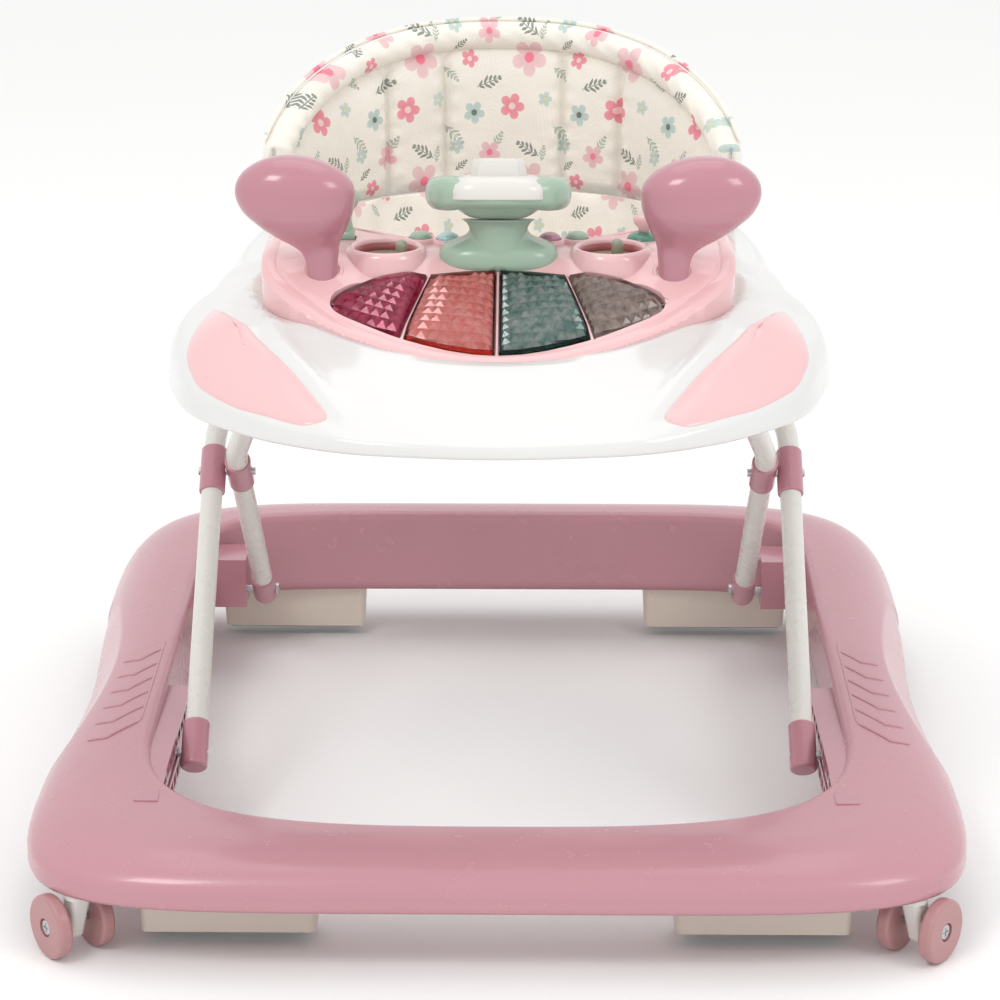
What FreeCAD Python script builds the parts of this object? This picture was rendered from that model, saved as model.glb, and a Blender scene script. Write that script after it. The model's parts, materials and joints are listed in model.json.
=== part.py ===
import FreeCAD, Part
import math
import os

from FreeCAD import Matrix, Rotation, Vector

UP = Vector(0, 0, 1)
ALONG_X = Vector(1, 0, 0)
SIDES = (-1, 1)

# Baby walker, millimetres. +Z is up and the floor is z = 0.
# The child faces -Y, so the play tray is at -Y and the backrest is at +Y.
# "left" is the -X side, "right" is the +X side.

# ---- driving dimensions -------------------------------------------------
# base ring
BASE_HALF_X = 322.0
BASE_HALF_Y = 353.0
BASE_CORNER = 78.0
RIM_Z = 46.0
TOP_MID_Z = 101.5
TOP_SLOPE = 0.0625
WALL = 3.0
WELL_HALF_X = 246.0
WELL_FRONT_Y = -284.0
WELL_REAR_Y = 276.0
WELL_REAR_R = 55.0

# castors: swivel places, wheel size and the yaw of each axle at rest
WHEEL_R = 22.0
WHEEL_T = 10.0
WHEEL_GAP = 22.0
TRAIL = 8.0
AXLE_R = 2.5
STEM_R = 5.0
CASTORS = {
    "front_left": (-277.0, -318.0, 38.0),
    "front_right": (277.0, -318.0, -38.0),
    "rear_left": (-290.0, 308.0, -24.0),
    "rear_right": (290.0, 308.0, 24.0),
}

# folding X frame: every pin axis lies along X
FOOT_Y = 216.0
FOOT_Z = 68.0
LOWER_L = 235.5
UPPER_L = 170.0
LEG_ANGLE = 41.8
FOLD_DEG = 28.0
TUBE_R = 8.0
TUBE_WALL = 1.2
OUTER_X = 218.0
INNER_X = 198.0
TOP_IN = 34.0
BEND_AT = 32.0
BEND_R = 90.0
PIN_R = 3.0
RUN = 0.06
SLOT_GAP = 0.12
PAST_PIN = 7.0
STUB_R = 4.0
SLIDER_GAP = 3.2
CAP_R = 9.8

# tray and seat
LIP_Z = 345.0
TRAY_TOP_Z = 400.0
SKIN = 3.0
PLATE_T = 7.0
SEAT_Y = 57.0
SEAT_R = 150.0
BONNET_Z = 352.0
BONNET_SLOPE = 0.36
BONNET_Y = -319.0
SLING_LOW_Z = 262.0
SLING_GORES = 12
LEG_HOLE_X = 66.0
LEG_HOLE_R = 52.0
BACK_TOP_Z = 536.0
BACK_HALF_X = 184.0
BACK_R = 186.0
BACK_T = 24.0

# console and toys
CONSOLE_Z = 436.0
CONSOLE_SLOPE = 0.494
CONSOLE_FRONT_Y = -238.0
CONSOLE_FRONT_Z = 385.0
COLUMN_Y = -128.0
WHEEL_Z = 476.0
WHEEL_TILT = 10.0
DIAL_X = 76.5
DIAL_Y = -130.0
DIAL_R = 21.0
MIRROR_X = 118.0
MIRROR_Y = -158.0
MIRROR_HEAD = Vector(135, -160, 482)
MIRROR_RADII = (40, 24, 27)
MIRROR_FOOT_R = 14.0
KEY_TRAVEL = 2.5
KEY_GAP = 1.3

# the light-up keys lie in a fan: its centre, and the arc that ends it in front
FAN_Y = 22.0
FAN_R = 135.0
FAN_ARC_Y = -87.0
OUTER_KEY_ANGLES = (15.6, 21.5, 27.0)
OUTER_KEY_REAR = ((104, -170), (87, -163), (48.5, -159))
INNER_KEY_ANGLES = (0.5, 7.0, 14.4)
INNER_KEY_REAR = ((45, -154), (1.5, -156))

# small controls on the console's flat top
BUTTONS = {
    "melody_button_1": (-54.0, -100.5),
    "melody_button_2": (-35.0, -104.2),
    "melody_button_3": (35.0, -104.2),
    "melody_button_4": (54.0, -100.5),
}
BUTTON_R = 7.5
LEVER = Vector(-106, -92, CONSOLE_Z + 1)
LEVER_TOP_Z = 464.0
LEVER_BARREL_R = 7.0
KEY_SPOT = Vector(100, -92, CONSOLE_Z)

# battery box under the tray, and the stoppers under the base
BATTERY_BOX = (-48.0, 48.0, -178.0, -112.0)
BATTERY_LOW_Z = 366.0
STOPPER_X = (118.0, 240.0)
STOPPER_LOW_Z = 9.5
STOPPER_FRONTS = (-306.0, 283.0)
STOPPER_DEPTH = 32.0
GRIP_LOW_Z = 8.0



# ---- small helpers ------------------------------------------------------
def box(x0, x1, y0, y1, z0, z1):
    return Part.makeBox(x1 - x0, y1 - y0, z1 - z0, Vector(x0, y0, z0))


def rod(start, end, radius):
    run = end - start
    return Part.makeCylinder(radius, run.Length, start, run)


def fuse(shapes):
    result = shapes[0]
    for shape in shapes[1:]:
        result = result.fuse(shape)
    return result.removeSplitter()


def mirrored(shape):
    return shape.mirror(Vector(0, 0, 0), ALONG_X)


def pair(shape):
    return [shape, mirrored(shape)]


def solids_of(shapes):
    found = []
    for shape in shapes:
        found += shape.Solids
    return found


def save(name, shapes):
    solids = solids_of(shapes if isinstance(shapes, list) else [shapes])
    shape = solids[0] if len(solids) == 1 else Part.makeCompound(solids)
    shape.exportStep("parts/" + name + ".step")
    bad = [s for s in solids if not s.isValid() or s.Volume <= 0]
    print(name, len(solids), round(shape.Volume), "BAD" if bad else "")


def place(shape, origin, yaw=0.0, tilt=0.0):
    """Turn a shape made at the origin: tilt about X, then yaw about Z, then move it."""
    copy = shape.copy()
    turn = Rotation(UP, yaw).multiply(Rotation(ALONG_X, tilt))
    copy.Placement = FreeCAD.Placement(origin, turn)
    return copy


def closed_curve(half):
    """A smooth closed wire through half an outline and its mirror image."""
    points = [Vector(x, y, 0) for x, y in half]
    points += [Vector(-x, y, 0) for x, y in reversed(half) if abs(x) > 1e-6]
    curve = Part.BSplineCurve()
    curve.interpolate(points, PeriodicFlag=True)
    return Part.Wire([curve.toShape()])


def rounded_rect(half_x, half_y, radius):
    """A rounded rectangle about the origin, in the XY plane."""
    edges = []
    c = math.sqrt(0.5) * radius
    corners = [(1, 1), (-1, 1), (-1, -1), (1, -1)]
    ends = []
    for sx, sy in corners:
        cx = sx * (half_x - radius)
        cy = sy * (half_y - radius)
        a = Vector(cx + sx * radius, cy, 0)
        b = Vector(cx, cy + sy * radius, 0)
        mid = Vector(cx + sx * c, cy + sy * c, 0)
        if sx * sy > 0:
            ends.append((a, mid, b))
        else:
            ends.append((b, mid, a))
    for i, (a, mid, b) in enumerate(ends):
        edges.append(Part.Arc(a, mid, b).toShape())
        edges.append(Part.LineSegment(b, ends[(i + 1) % 4][0]).toShape())
    return Part.Wire(edges)


def below_plane(y0, z0, slope):
    """Everything under the plane z = z0 + slope (y - y0), as a very thick slab."""
    slab = Part.makeBox(1200, 1600, 900, Vector(-600, -800, -900))
    return place(slab, Vector(0, y0, z0), tilt=math.degrees(math.atan(slope)))


# ---- base ---------------------------------------------------------------
def base_body(inset):
    """The full outer form of the ring without its foot well."""
    stations = [(0.0, RIM_Z, 0.0), (0.0, RIM_Z + 12, 0.25), (9.0, 86.0, 0.85), (40.0, TOP_MID_Z, 1.0)]
    wires = []
    for side_in, mid_z, share in stations:
        cut = side_in + inset
        wire = rounded_rect(BASE_HALF_X - cut, BASE_HALF_Y - cut, BASE_CORNER - cut)
        tilt = math.degrees(math.atan(TOP_SLOPE * share))
        drop = inset if mid_z > RIM_Z else 2.0
        wires.append(place(wire, Vector(0, 0, mid_z - drop if inset else mid_z), tilt=tilt))
    return Part.makeLoft(wires, True)


def foot_well(grow):
    """The hole through the ring, wider by grow on each side."""
    x = WELL_HALF_X + grow
    front = WELL_FRONT_Y - grow
    rear = WELL_REAR_Y + grow
    r = WELL_REAR_R + grow
    bend = r * (1 - math.sqrt(0.5))
    side_front = front + 86
    corner = Vector(x - 46, front + 34, 0)
    mid = Vector(x - 13, front + 57, 0)
    parts = []
    parts.append(Part.LineSegment(Vector(x, side_front, 0), Vector(x, rear - r, 0)))
    parts.append(Part.Arc(Vector(x, rear - r, 0), Vector(x - bend, rear - bend, 0), Vector(x - r, rear, 0)))
    parts.append(Part.LineSegment(Vector(x - r, rear, 0), Vector(r - x, rear, 0)))
    parts.append(Part.Arc(Vector(r - x, rear, 0), Vector(bend - x, rear - bend, 0), Vector(-x, rear - r, 0)))
    parts.append(Part.LineSegment(Vector(-x, rear - r, 0), Vector(-x, side_front, 0)))
    left_corner = Vector(-corner.x, corner.y, 0)
    parts.append(Part.Arc(Vector(-x, side_front, 0), Vector(-mid.x, mid.y, 0), left_corner))
    parts.append(Part.Arc(left_corner, Vector(0, front, 0), corner))
    parts.append(Part.Arc(corner, mid, Vector(x, side_front, 0)))
    return Part.Face(Part.Wire([p.toShape() for p in parts])).extrude(Vector(0, 0, 300))


def base_cavity():
    return base_body(WALL).cut(foot_well(WALL))


def rail_blank():
    return box(WELL_HALF_X - 16, WELL_HALF_X, -256, -44, 50, 84)


def rail_pocket():
    """Room in the front corner of the ring for the rail and for a leg that slides forward."""
    return box(204, WELL_HALF_X + 6, -266, -190, RIM_Z - 4, 84.5)


def front_rail():
    rail = rail_blank()
    slide = 2 * LOWER_L * math.cos(math.radians(LEG_ANGLE - FOLD_DEG))
    slide -= 2 * LOWER_L * math.cos(math.radians(LEG_ANGLE))
    rest_y = FOOT_Y - 2 * LOWER_L * math.cos(math.radians(LEG_ANGLE))
    half = PIN_R + SLOT_GAP
    slot = box(WELL_HALF_X - 20, WELL_HALF_X + 1, rest_y - slide - half - 1, rest_y + half + 1,
               FOOT_Z - half, FOOT_Z + half)
    rail = rail.cut(slot)
    for i in range(12):
        y = -250 + i * 17
        rail = rail.cut(box(WELL_HALF_X - 17, WELL_HALF_X - 10, y, y + 13, 53, 61))
        rail = rail.cut(box(WELL_HALF_X - 17, WELL_HALF_X - 10, y, y + 13, 75, 81))
    return rail


def rear_bracket():
    block = box(212, WELL_HALF_X + 5, 203, 244, 56, 97).common(foot_well(0))
    bore = rod(Vector(200, FOOT_Y, FOOT_Z), Vector(241, FOOT_Y, FOOT_Z), PIN_R + RUN)
    return block.cut(bore)


def screw(tip, direction, head_r, head_t, shank_r, length):
    """A pan-head screw whose head sits on the surface at tip."""
    head = Part.makeCylinder(head_r, head_t, tip, direction * -1)
    head = head.makeFillet(head_t * 0.45, [head.Edges[0] if head.Edges[0].Closed else head.Edges[2]])
    shank = Part.makeCylinder(shank_r, length, tip, direction)
    cross = fuse([box(-head_r * 0.6, head_r * 0.6, -0.5, 0.5, 0, 0.9),
                  box(-0.5, 0.5, -head_r * 0.6, head_r * 0.6, 0, 0.9)])
    turn = Rotation(UP, direction * -1)
    cross.Placement = FreeCAD.Placement(tip - direction * (head_t - 0.6), turn)
    return fuse([head, shank]).cut(cross)


def stop_pad(y0, y1):
    """A foot under the ring, hung on two posts."""
    x0, x1 = STOPPER_X
    middle = Vector((x0 + x1) / 2, (y0 + y1) / 2, 0)
    half_x = (x1 - x0) / 2
    half_y = (y1 - y0) / 2
    bottom = place(rounded_rect(half_x - 2, half_y - 2, 5), middle + UP * STOPPER_LOW_Z)
    top = place(rounded_rect(half_x, half_y, 6), middle + UP * RIM_Z)
    body = Part.makeLoft([bottom, top], True)
    room = base_cavity().fuse(box(100, 260, y0, y1, 20, RIM_Z + 4))
    for x in (x0 + 28, x1 - 28):
        post = rod(Vector(x, middle.y, RIM_Z - 2), Vector(x, middle.y, 130), 6)
        body = body.fuse(post.common(room))
    return body.removeSplitter()


def grip_strip(y0, y1):
    x0, x1 = STOPPER_X
    return box(x0 + 6, x1 - 6, y0 + 5, y1 - 5, GRIP_LOW_Z, STOPPER_LOW_Z)


def castor_socket(x, y):
    sleeve = Part.makeCylinder(9, 80, Vector(x, y, RIM_Z + 2), UP).common(base_cavity())
    return sleeve.cut(Part.makeCylinder(STEM_R + RUN, 24, Vector(x, y, RIM_Z), UP))


def castor(x, y, yaw):
    """Fork, wheel pair and axle. At yaw 0 the axle lies along X and the wheels trail to +Y."""
    hub = Vector(0, TRAIL, WHEEL_R)
    top = place(rounded_rect(7, 8.5, 4), Vector(0, 0.5, 42))
    foot = place(rounded_rect(5.5, 7, 4), Vector(0, TRAIL, WHEEL_R - 9))
    fork = fuse([Part.makeLoft([foot, top], True),
                 Part.makeCylinder(9, 5.5, Vector(0, 0, 42), UP),
                 Part.makeCylinder(STEM_R, 22, Vector(0, 0, 46), UP)])
    fork = fork.cut(rod(hub - ALONG_X * 20, hub + ALONG_X * 20, AXLE_R + RUN))
    wheels = []
    for side in SIDES:
        near = hub + ALONG_X * (side * WHEEL_GAP / 2)
        disc = Part.makeCylinder(WHEEL_R, WHEEL_T, near, ALONG_X * side)
        rims = [e for e in disc.Edges if e.Closed and abs(e.Curve.Radius - WHEEL_R) < 0.01]
        disc = disc.makeFillet(2.8, rims)
        outer = near + ALONG_X * (side * WHEEL_T)
        disc = disc.cut(Part.makeCylinder(6.5, 3, outer - ALONG_X * (side * 3), ALONG_X * side))
        wheels.append(disc.cut(rod(near - ALONG_X * 20, near + ALONG_X * 20, AXLE_R)))
    half = WHEEL_GAP / 2 + WHEEL_T - 3
    axle = rod(hub - ALONG_X * half, hub + ALONG_X * half, AXLE_R)
    for side in SIDES:
        end = hub + ALONG_X * (side * half)
        head = Part.makeCylinder(5, 2, end, ALONG_X * side)
        for a, b in ((3.2, 0.5), (0.5, 3.2)):
            head = head.cut(Part.makeBox(1.2, 2 * a, 2 * b, end + Vector(side * 2 - 0.6, -a, -b)))
        axle = axle.fuse(head)
    spot = Vector(x, y, 0)
    return (place(fork, spot, yaw), [place(w, spot, yaw) for w in wheels], place(axle, spot, yaw))


# ---- folding legs -------------------------------------------------------
def leg_points(towards):
    """Foot pin, crossing, bend and top pin of a leg that rises towards +Y (1) or -Y (-1), as (y, z)."""
    a = math.radians(LEG_ANGLE)
    cross_y = FOOT_Y - LOWER_L * math.cos(a)
    cross_z = FOOT_Z + LOWER_L * math.sin(a)

    def at(distance):
        return (cross_y + towards * distance * math.cos(a), cross_z + distance * math.sin(a))

    return at(-LOWER_L), at(0), at(BEND_AT), at(UPPER_L)


def leg(x, towards):
    """A bent steel tube and the places along it."""
    foot, cross, bend, top = leg_points(towards)
    p_foot = Vector(x, *foot)
    p_cross = Vector(x, *cross)
    p_bend = Vector(x, *bend)
    p_top = Vector(x - TOP_IN, *top)
    down = (p_foot - p_cross).normalize()
    up = (p_top - p_bend).normalize()
    start = p_foot + down * PAST_PIN
    end = p_top + up * PAST_PIN

    # The bend is an arc between the two straight runs.
    turn = math.acos(max(-1.0, min(1.0, -down.dot(up))))
    reach = BEND_R * math.tan(turn / 2)
    arc_from = p_bend + down * reach
    arc_to = p_bend + up * reach
    inward = (down + up).normalize()
    arc_mid = p_bend + inward * (BEND_R / math.cos(turn / 2) - BEND_R)

    def tube(radius, extra):
        first = start + down * extra
        path = [Part.LineSegment(first, arc_from), Part.Arc(arc_from, arc_mid, arc_to),
                Part.LineSegment(arc_to, end + up * extra)]
        circle = Part.Wire([Part.makeCircle(radius, first, down * -1)])
        return Part.Wire([edge.toShape() for edge in path]).makePipeShell([circle], True, False)

    body = tube(TUBE_R, 0).cut(tube(TUBE_R - TUBE_WALL, 1))
    return body, p_foot, p_cross, p_top, down, up


def cross_axis(point, length, radius):
    return rod(point - ALONG_X * length, point + ALONG_X * length, radius)


def foot_cap(p_foot, down):
    """A moulded cap round the lower end of a tube, closed below the pin."""
    cap = rod(p_foot - down * 25, p_foot + down * 12, CAP_R)
    rims = [e for e in cap.Edges if e.Closed]
    cap = cap.makeFillet(2.5, rims)
    return cap.cut(rod(p_foot - down * 26, p_foot + down * 7, TUBE_R))


def sleeve(p_cross, down):
    body = rod(p_cross - down * 19, p_cross + down * 19, CAP_R)
    body = body.makeFillet(1.5, [e for e in body.Edges if e.Closed])
    return body.cut(rod(p_cross - down * 20, p_cross + down * 20, TUBE_R))


def make_legs():
    """Both leg sets, right side first, each mirrored to the left."""
    inner, in_foot, in_cross, in_top, in_down, in_up = leg(INNER_X, -1)
    outer, out_foot, out_cross, out_top, out_down, out_up = leg(OUTER_X, 1)

    foot_hole = cross_axis(in_foot, 30, PIN_R)
    cross_hole = cross_axis(in_cross, 60, PIN_R + RUN)
    slider = rod(in_top - in_up * 24, in_top + in_up * 10, CAP_R)
    room = rod(in_top - in_up * 25, in_top + in_up * PAST_PIN, TUBE_R)
    slider = slider.cut(room)
    stub = rod(in_top - ALONG_X * (CAP_R + SLIDER_GAP + 6), in_top, STUB_R).cut(room)
    save("inner_tubes", pair(inner.cut(foot_hole).cut(cross_hole)))
    save("inner_foot_caps", pair(foot_cap(in_foot, in_down).cut(foot_hole)))
    save("inner_sleeves", pair(sleeve(in_cross, in_down).cut(cross_hole)))
    save("inner_top_sliders", pair(fuse([slider, stub])))
    pin = rod(Vector(INNER_X - 11.3, FOOT_Y, FOOT_Z), Vector(240, FOOT_Y, FOOT_Z), PIN_R)
    head = rod(Vector(INNER_X - 12, FOOT_Y, FOOT_Z), Vector(INNER_X - CAP_R, FOOT_Y, FOOT_Z), 5)
    save("inner_foot_pins", pair(fuse([pin, head.cut(foot_cap(in_foot, in_down))])))

    hole = cross_axis(out_foot, 30, PIN_R)
    mid_hole = cross_axis(out_cross, 60, PIN_R)
    top_hole = cross_axis(out_top, 30, PIN_R)
    save("outer_tubes", pair(outer.cut(hole).cut(mid_hole).cut(top_hole)))
    save("outer_foot_caps", pair(foot_cap(out_foot, out_down).cut(hole)))
    save("outer_sleeves", pair(sleeve(out_cross, out_down).cut(mid_hole)))
    slide_pin = rod(out_foot - ALONG_X * CAP_R, Vector(WELL_HALF_X - 2, out_foot.y, out_foot.z), PIN_R)
    cross_pin = rod(in_cross - ALONG_X * 12, out_cross + ALONG_X * 11, PIN_R)
    top_pin = rod(out_top - ALONG_X * 18, out_top + ALONG_X * 9, PIN_R)
    save("outer_leg_pins", pair(slide_pin) + pair(cross_pin) + pair(top_pin))
    return in_top, out_top, out_up


# ---- tray ---------------------------------------------------------------
TRAY_HALF = [(0, -319), (97, -306), (141, -284), (171, -259), (194, -234), (208, -205), (221, -167),
             (229, -125), (229, -85), (219, -35), (210, 20), (206, 75), (199, 135), (176, 185),
             (140, 224), (80, 255), (0, 265)]
TRAY_CENTRE = Vector(0, -20, 0)


def tray_body(inset):
    """The tray's outer form, without its seat hole; inset makes the form of its hollow."""
    stations = [(1.0, LIP_Z), (1.0, 356.0), (0.985, 384.0), (0.945, TRAY_TOP_Z)]
    wires = []
    for share, z in stations:
        shrink = share - inset / 225.0
        wire = closed_curve(TRAY_HALF)
        scale = Matrix()
        scale.scale(shrink, shrink, 1)
        moved = wire.translated(TRAY_CENTRE * -1).transformGeometry(scale)
        level = z - inset if z > LIP_Z else z - (1 if inset else 0)
        wires.append(moved.translated(TRAY_CENTRE + Vector(0, 0, level)))
    body = Part.makeLoft(wires, True)
    return body.common(below_plane(BONNET_Y, BONNET_Z - inset, BONNET_SLOPE))


def seat_tube(radius):
    return Part.makeCylinder(radius, 400, Vector(0, SEAT_Y, 200), UP)


def tray_hollow():
    return tray_body(SKIN).cut(seat_tube(SEAT_R + SKIN))


def tray_skin():
    """The moulded shell of the tray, before the legs' clearances are cut."""
    return tray_body(0).cut(seat_tube(SEAT_R)).cut(tray_hollow())


def headlight():
    """A leaf-shaped inlay that lies on the bonnet's right shoulder."""
    outline = [(150, -262), (196, -214), (206, -176), (203, -150), (180, -170), (158, -200), (140, -236)]
    curve = Part.BSplineCurve()
    curve.interpolate([Vector(x, y, 0) for x, y in outline], PeriodicFlag=True)
    face = Part.Face(Part.Wire([curve.toShape()])).translated(Vector(0, 0, LIP_Z + 6))
    leaf = face.extrude(Vector(0, 0, 100))
    raised = tray_body(-1.2)
    return leaf.common(raised)


def slot_channel(in_top):
    """The plate under the tray whose slot guides the inner leg's top stub."""
    x1 = in_top.x - CAP_R - SLIDER_GAP
    x0 = x1 - PLATE_T
    travel = 2 * UPPER_L * math.cos(math.radians(LEG_ANGLE - FOLD_DEG))
    travel -= 2 * UPPER_L * math.cos(math.radians(LEG_ANGLE))
    half = STUB_R + SLOT_GAP
    low_y = in_top.y - travel - half
    plate = box(x0, x1, low_y - 10, in_top.y + 14, in_top.z - 12, LIP_Z + 12)
    hanger = box(x0, x1, low_y - 10, in_top.y + 14, LIP_Z + 2, 460).common(tray_hollow())
    slot = box(x0 - 1, x1 + 1, low_y, in_top.y + half, in_top.z - half, in_top.z + half)
    return fuse([plate, hanger]).cut(slot).cut(tray_skin())


def pivot_bracket(out_top):
    """The ear under the tray that the outer leg's top pin turns in."""
    x1 = out_top.x - TUBE_R - 1.5
    x0 = x1 - PLATE_T
    ear = box(x0, x1, out_top.y - 16, out_top.y + 16, out_top.z - 12, LIP_Z + 12)
    hanger = box(x0, x1, out_top.y - 16, out_top.y + 16, LIP_Z + 2, 460).common(tray_hollow())
    bracket = fuse([ear, hanger]).cut(cross_axis(out_top, 40, PIN_R + RUN))
    return bracket.cut(tray_skin())


# ---- console ------------------------------------------------------------
def console_outline(inset):
    half = [(0, CONSOLE_FRONT_Y + inset), (60 - inset * 0.3, -226 + inset),
            (114 - inset * 0.7, -197 + inset * 0.8), (146 - inset, -150), (160 - inset, -95),
            (158 - inset, -50 - inset), (150 - inset, -34 - inset)]
    points = [Vector(x, y, 0) for x, y in half]
    right = Part.BSplineCurve()
    left = Part.BSplineCurve()
    mirror_points = [Vector(-p.x, p.y, 0) for p in reversed(points)]
    right.interpolate(mirror_points[:-1] + points)
    edge = Part.LineSegment(points[-1], Vector(-points[-1].x, points[-1].y, 0))
    return Part.Face(Part.Wire([right.toShape(), edge.toShape()]))


def console_form(inset):
    """The raised panel on the tray, cut off by the slope in front and by the flat top behind."""
    face = console_outline(inset).translated(Vector(0, 0, LIP_Z + 5))
    block = face.extrude(Vector(0, 0, CONSOLE_Z - inset - LIP_Z - 5))
    block = block.common(below_plane(CONSOLE_FRONT_Y, CONSOLE_FRONT_Z - inset, CONSOLE_SLOPE))
    return block.cut(seat_tube(SEAT_R + 8 + inset))


SLOPE_TILT = math.degrees(math.atan(CONSOLE_SLOPE))
SLOPE_NORMAL = Vector(0, -math.sin(math.radians(SLOPE_TILT)), math.cos(math.radians(SLOPE_TILT)))
GEM_KEYS = {
    "gem_key_magenta": (-1, True),
    "gem_key_coral": (-1, False),
    "gem_key_teal": (1, False),
    "gem_key_taupe": (1, True),
}


def slope_z(y):
    return CONSOLE_FRONT_Z + CONSOLE_SLOPE * (y - CONSOLE_FRONT_Y)


def fan_point(angle):
    """Where a ray from the fan's centre meets the keys' front arc."""
    sx = math.sin(math.radians(angle))
    cy = -math.cos(math.radians(angle))
    gap = FAN_Y - FAN_ARC_Y
    b = gap * cy
    run = -b + math.sqrt(b * b - gap * gap + FAN_R * FAN_R)
    return Vector(run * sx, FAN_Y + run * cy, 0)


def key_face(outer, grow):
    """The outline of a right-hand key, seen from above."""
    front = [fan_point(a) for a in (OUTER_KEY_ANGLES if outer else INNER_KEY_ANGLES)]
    rest = [Vector(x, y, 0) for x, y in (OUTER_KEY_REAR if outer else INNER_KEY_REAR)]
    edges = [Part.Arc(*front).toShape()]
    ring = [front[-1]] + rest + [front[0]]
    for a, b in zip(ring, ring[1:]):
        edges.append(Part.LineSegment(a, b).toShape())
    wire = Part.Wire(edges)
    if grow:
        wire = wire.makeOffset2D(grow, 2)
    return Part.Face(wire)


def key_block(outer, grow, below, above):
    """A slab over the key's outline, between two heights measured along the slope's normal."""
    prism = key_face(outer, grow).extrude(Vector(0, 0, 600))
    reach = math.cos(math.radians(SLOPE_TILT))
    top = below_plane(CONSOLE_FRONT_Y, CONSOLE_FRONT_Z + above / reach, CONSOLE_SLOPE)
    low = below_plane(CONSOLE_FRONT_Y, CONSOLE_FRONT_Z - below / reach, CONSOLE_SLOPE)
    return prism.common(top).cut(low)


def wheel_shape(shape):
    return place(shape, Vector(0, COLUMN_Y, WHEEL_Z), tilt=-WHEEL_TILT)


def ellipse_disc(a, b, z):
    ring = Part.Ellipse(Vector(0, 0, 0), a, b).toShape()
    return Part.Wire([ring]).translated(Vector(0, COLUMN_Y, z))


def steering_base():
    rings = [ellipse_disc(40, 24, 408), ellipse_disc(39, 23, 436), ellipse_disc(24, 18, 446)]
    dome = Part.makeLoft(rings, True)
    column = wheel_shape(Part.makeCone(19, 15.5, 32, Vector(0, 0, -46), UP))
    spindle = wheel_shape(Part.makeCylinder(6, 14, Vector(0, 0, -15), UP))
    return fuse([dome, column, spindle])


def steering_wheel():
    rim = Part.makeTorus(40, 8.5, Vector(0, 0, 0), UP)
    hub = Part.makeCylinder(21, 13, Vector(0, 0, -13.6), UP)
    parts = [rim, hub]
    for angle in (90, 210, 330):
        spoke = Part.makeBox(26, 16, 8, Vector(16, -8, -7))
        parts.append(place(spoke, Vector(0, 0, 0), yaw=angle))
    wheel = fuse(parts)
    wheel = wheel.cut(Part.makeCylinder(6 + RUN, 13.4, Vector(0, 0, -14), UP))
    wheel = wheel.cut(Part.makeCylinder(33, 30, Vector(0, 0, -0.6), UP))
    return wheel_shape(wheel)


def wheel_insert():
    disc = Part.makeCylinder(32, 9, Vector(0, 0, -0.6), UP)
    disc = disc.makeFillet(3, [e for e in disc.Edges if e.Closed and e.BoundBox.ZMin > 5])
    return wheel_shape(disc.cut(Part.makeCylinder(18.5, 20, Vector(0, 0, 2.0), UP)))


def horn_button():
    disc = Part.makeCylinder(18, 11.5, Vector(0, 0, 5.4), UP)
    disc = disc.makeFillet(4.5, [e for e in disc.Edges if e.Closed and e.BoundBox.ZMin > 10])
    return wheel_shape(disc)


def mirror_parts():
    """The right-hand wing mirror: a hollow-backed egg on a stem, with a flat glass that faces the child."""
    foot = Vector(MIRROR_X, MIRROR_Y, slope_z(MIRROR_Y) + 7.5)
    centre = MIRROR_HEAD
    ball = Part.makeSphere(1, Vector(0, 0, 0))
    scale = Matrix()
    scale.scale(*MIRROR_RADII)
    egg = place(ball.transformGeometry(scale), centre)
    stem_top = Vector(127, MIRROR_Y, 464)
    stem = Part.makeCone(12, 14, (stem_top - foot).Length, foot, stem_top - foot)
    shell = fuse([egg, stem]).cut(box(60, 220, MIRROR_Y - 40, MIRROR_Y + 40, foot.z - 30, foot.z))
    face_y = centre.y + 13
    shell = shell.cut(box(60, 220, face_y, face_y + 60, 440, 560))
    recess = place(ball.transformGeometry(scale), centre).common(box(60, 220, face_y - 3, face_y, 440, 560))
    small = Matrix()
    small.scale(0.88, 1, 0.86)
    recess = recess.translated(centre * -1).transformGeometry(small).translated(centre)
    glass = recess.common(box(60, 220, face_y - 3, face_y - 0.5, 440, 560))
    pivot = Part.makeCylinder(5, 12, Vector(foot.x, foot.y, foot.z - 12), UP)
    return fuse([shell.cut(recess), pivot]), glass, foot


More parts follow.
